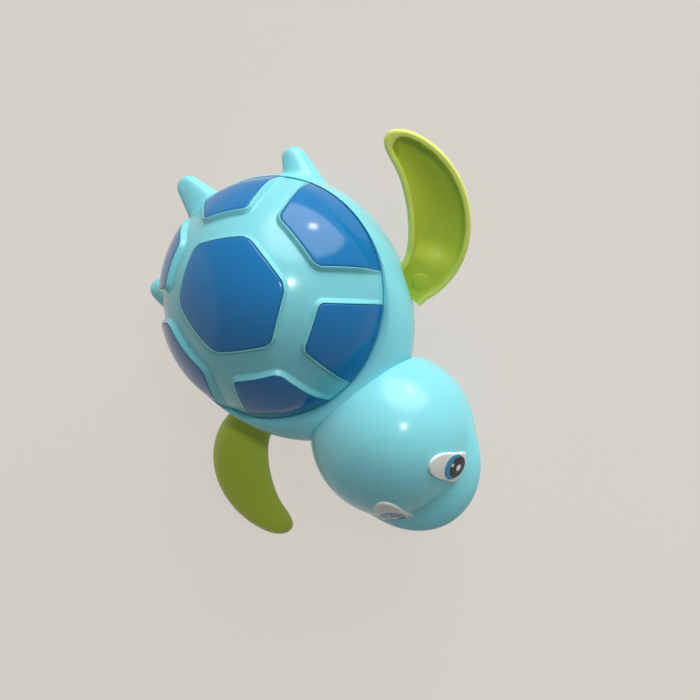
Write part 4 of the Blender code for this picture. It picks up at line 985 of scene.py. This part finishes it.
def add_mark(bm, out, along, normal):
    """Low round step near the root, on the floor of the hollow."""
    lean = Matrix((out, along, normal)).transposed().to_4x4()
    spot = Matrix.Translation(out * MARK[0] + along * MARK[1] + normal * (HUB_DROP - MARK_SUNK)) @ lean
    disc = bmesh.ops.create_cone(bm, cap_ends=True, segments=64, radius1=MARK_RADIUS,
                                 radius2=MARK_RADIUS - MARK_TAPER, depth=MARK_DEPTH, matrix=spot)
    top = [e for e in {e for v in disc["verts"] for e in v.link_edges}
           if all((v.co - spot.translation).dot(normal) > 0.5 for v in e.verts)]
    bmesh.ops.bevel(bm, geom=top, offset=MARK_ROUND, segments=3, profile=0.5, affect="EDGES", material=-1)


def build_flipper(name, side, node_name, lime):
    """Hollow paddle grown along its line; the right one is reflected through the shaft's middle."""
    tilt = math.radians(FLIPPER_ANGLE)
    out = Vector((1.0, 0.0, 0.0))
    along = Vector((0.0, math.cos(tilt), math.sin(tilt)))
    normal = out.cross(along)
    bm = bmesh.new()
    # Layer with each point's share of the painted rim highlight
    rim = bm.verts.layers.float.new("rim")
    ring, edges = [], []
    for place, direction, share in paddle_stations():
        half = ROOT_HALF * (1.0 - share) + TIP_HALF * share + SWELL * math.sin(math.pi * share)
        tip = max(0.0, (share - TIP_START) / (1.0 - TIP_START))
        sideways = out * direction.y - along * direction.x
        middle = out * place[0] + along * place[1] + normal * HUB_DROP
        section = paddle_section(half, min(0.9998, tip), share)
        if ring:
            ring, edges = grow_ring(bm, ring, edges)
        else:
            ring = [bm.verts.new() for _ in section]
            edges = [bm.edges.new((ring[i - 1], ring[i])) for i in range(len(ring))]
            bm.faces.new(ring)
        for vert, (across, height, edge) in zip(ring, section):
            vert.co = middle + sideways * across + normal * height
            vert[rim] = edge
    bm.faces.new(ring)
    add_mark(bm, out, along, normal)
    if side < 0:
        bmesh.ops.scale(bm, vec=(-1, -1, -1), verts=bm.verts)
    bmesh.ops.translate(bm, vec=SHAFT_POINT, verts=bm.verts)
    bmesh.ops.recalc_face_normals(bm, faces=bm.faces)
    finish_piece(name, bm, lime, "flippers", "lime_flippers", node_name)


# Stage

def seen_directly(tree):
    """1 where the camera sees a surface, straight on or in a mirror or through glass."""
    path = node(tree, "ShaderNodeLightPath")
    seen = path.outputs["Is Camera Ray"]
    for kind in ("Is Glossy Ray", "Is Transmission Ray"):
        both = node(tree, "ShaderNodeMath", {"operation": "MAXIMUM"}, _0=seen, _1=path.outputs[kind])
        seen = both.outputs["Value"]
    return seen


def build_floor():
    """Pale floor that glows where it is seen, so that it stays even behind the turtle."""
    bm = bmesh.new()
    bmesh.ops.create_grid(bm, x_segments=1, y_segments=1, size=FLOOR_HALF)
    mesh = bpy.data.meshes.new("floor")
    bm.to_mesh(mesh)
    bm.free()
    material, tree, shader = blank_material("floor_pale")
    place = node(tree, "ShaderNodeTexCoord").outputs["Object"]
    tone = mottled(tree, place, FLOOR_TONES, FLOOR_DRIFT)
    tree.links.new(tone, shader.inputs["Base Color"])
    shader.inputs["Roughness"].default_value = FLOOR_ROUGHNESS
    share = node(tree, "ShaderNodeMath", {"operation": "MULTIPLY"}, _0=seen_directly(tree),
                 _1=FLOOR_GLOW_SHARE)
    glow = node(tree, "ShaderNodeEmission", Color=tone, Strength=FLOOR_GLOW)
    mix = node(tree, "ShaderNodeMixShader", _0=share.outputs["Value"], _1=shader.outputs["BSDF"],
               _2=glow.outputs["Emission"])
    tree.links.new(mix.outputs["Shader"], tree.nodes["Material Output"].inputs["Surface"])
    mesh.materials.append(material)
    floor = bpy.data.objects.new("floor", mesh)
    bpy.context.scene.collection.objects.link(floor)


def add_lamp(name, place, size, power):
    """Round lamp that points at the turtle."""
    data = bpy.data.lights.new(name, "AREA")
    data.shape = "DISK"
    data.size = size
    data.energy = power
    lamp = bpy.data.objects.new(name, data)
    lamp.location = place
    lamp.rotation_mode = "QUATERNION"
    lamp.rotation_quaternion = (LAMP_TARGET - Vector(place)).to_track_quat("-Z", "Y")
    bpy.context.scene.collection.objects.link(lamp)


def build_lights():
    """Lamps, and surroundings that are pale where they are seen and dim as a light."""
    world = bpy.data.worlds.new("studio")
    world.use_nodes = True
    tree = world.node_tree
    tone = blended(tree, seen_directly(tree), FILL_TONE, PALE_TONE)
    tree.links.new(tone, tree.nodes["Background"].inputs["Color"])
    bpy.context.scene.world = world
    for lamp in LAMPS:
        add_lamp(*lamp)


def build_camera():
    """Camera at its fitted place; its rows are right, down and ahead in the picture."""
    data = bpy.data.cameras.new("camera")
    data.lens = CAMERA_LENS
    data.sensor_width = SENSOR_WIDTH
    data.clip_start = CLIP_START
    camera = bpy.data.objects.new("camera", data)
    rows = Matrix(CAMERA_ROWS)
    right = rows[0].normalized()
    down = (rows[1] - right * rows[1].dot(right)).normalized()
    ahead = right.cross(down)
    turn = Matrix((right, -down, -ahead)).transposed()
    camera.matrix_world = Matrix.Translation(CAMERA_PLACE * MM) @ turn.to_4x4()
    bpy.context.scene.collection.objects.link(camera)
    bpy.context.scene.camera = camera
    bpy.context.scene.view_settings.view_transform = "Standard"


def dress_inner_parts():
    """Give the carried-over shaft, screws and clockwork their own finishes."""
    finishes = {"steel": turned_metal("bright_steel", STEEL_TONES, (0.22, 0.36)),
                "spring_steel": turned_metal("blued_spring_steel", STRIP_TONES, (0.28, 0.4)),
                "acetal": moulded_plastic("natural_acetal", ACETAL_TONES, (0.35, 0.48)),
                "gearbox_grey": moulded_plastic("gearbox_grey_plastic", GREY_TONES, (0.4, 0.52))}
    for row in frame["record"]["subparts"]:
        finish = finishes.get(row["material_slot"])
        if finish:
            obj = frame["nodes"][row["node"]]
            obj.data.materials.clear()
            obj.data.materials.append(finish)


def main():
    shell = moulded_plastic("turquoise_shell_moulding", SHELL_TONES, (0.2, 0.28), coat=0.1, gloss=0.4)
    turquoise = moulded_plastic("turquoise_moulding", BODY_TONES, (0.2, 0.28), coat=0.1, gloss=0.4)
    blue = moulded_plastic("blue_plate_moulding", PLATE_TONES, (0.1, 0.18), ripple=0.25, coat=0.1, gloss=0.3)
    lime = moulded_plastic("lime_moulding", LIME_TONES, (0.26, 0.36), gloss=0.35)
    # The flippers' paler rims are a painted highlight
    paint_rim_highlight(lime, LIME_RIM_HIGHLIGHT_TONE)
    white = painted_eye()
    build_camera()
    build_floor()
    build_lights()
    build_shell(shell, blue)
    build_upper_hull(turquoise)
    build_lower_hull(turquoise)
    build_head(turquoise)
    build_eye("eye_left", 1, "left_eye", white)
    build_eye("eye_right", -1, "right_eye", white)
    build_flipper("flipper_left", 1, "left_flipper", lime)
    build_flipper("flipper_right", -1, "right_flipper", lime)
    dress_inner_parts()


main()
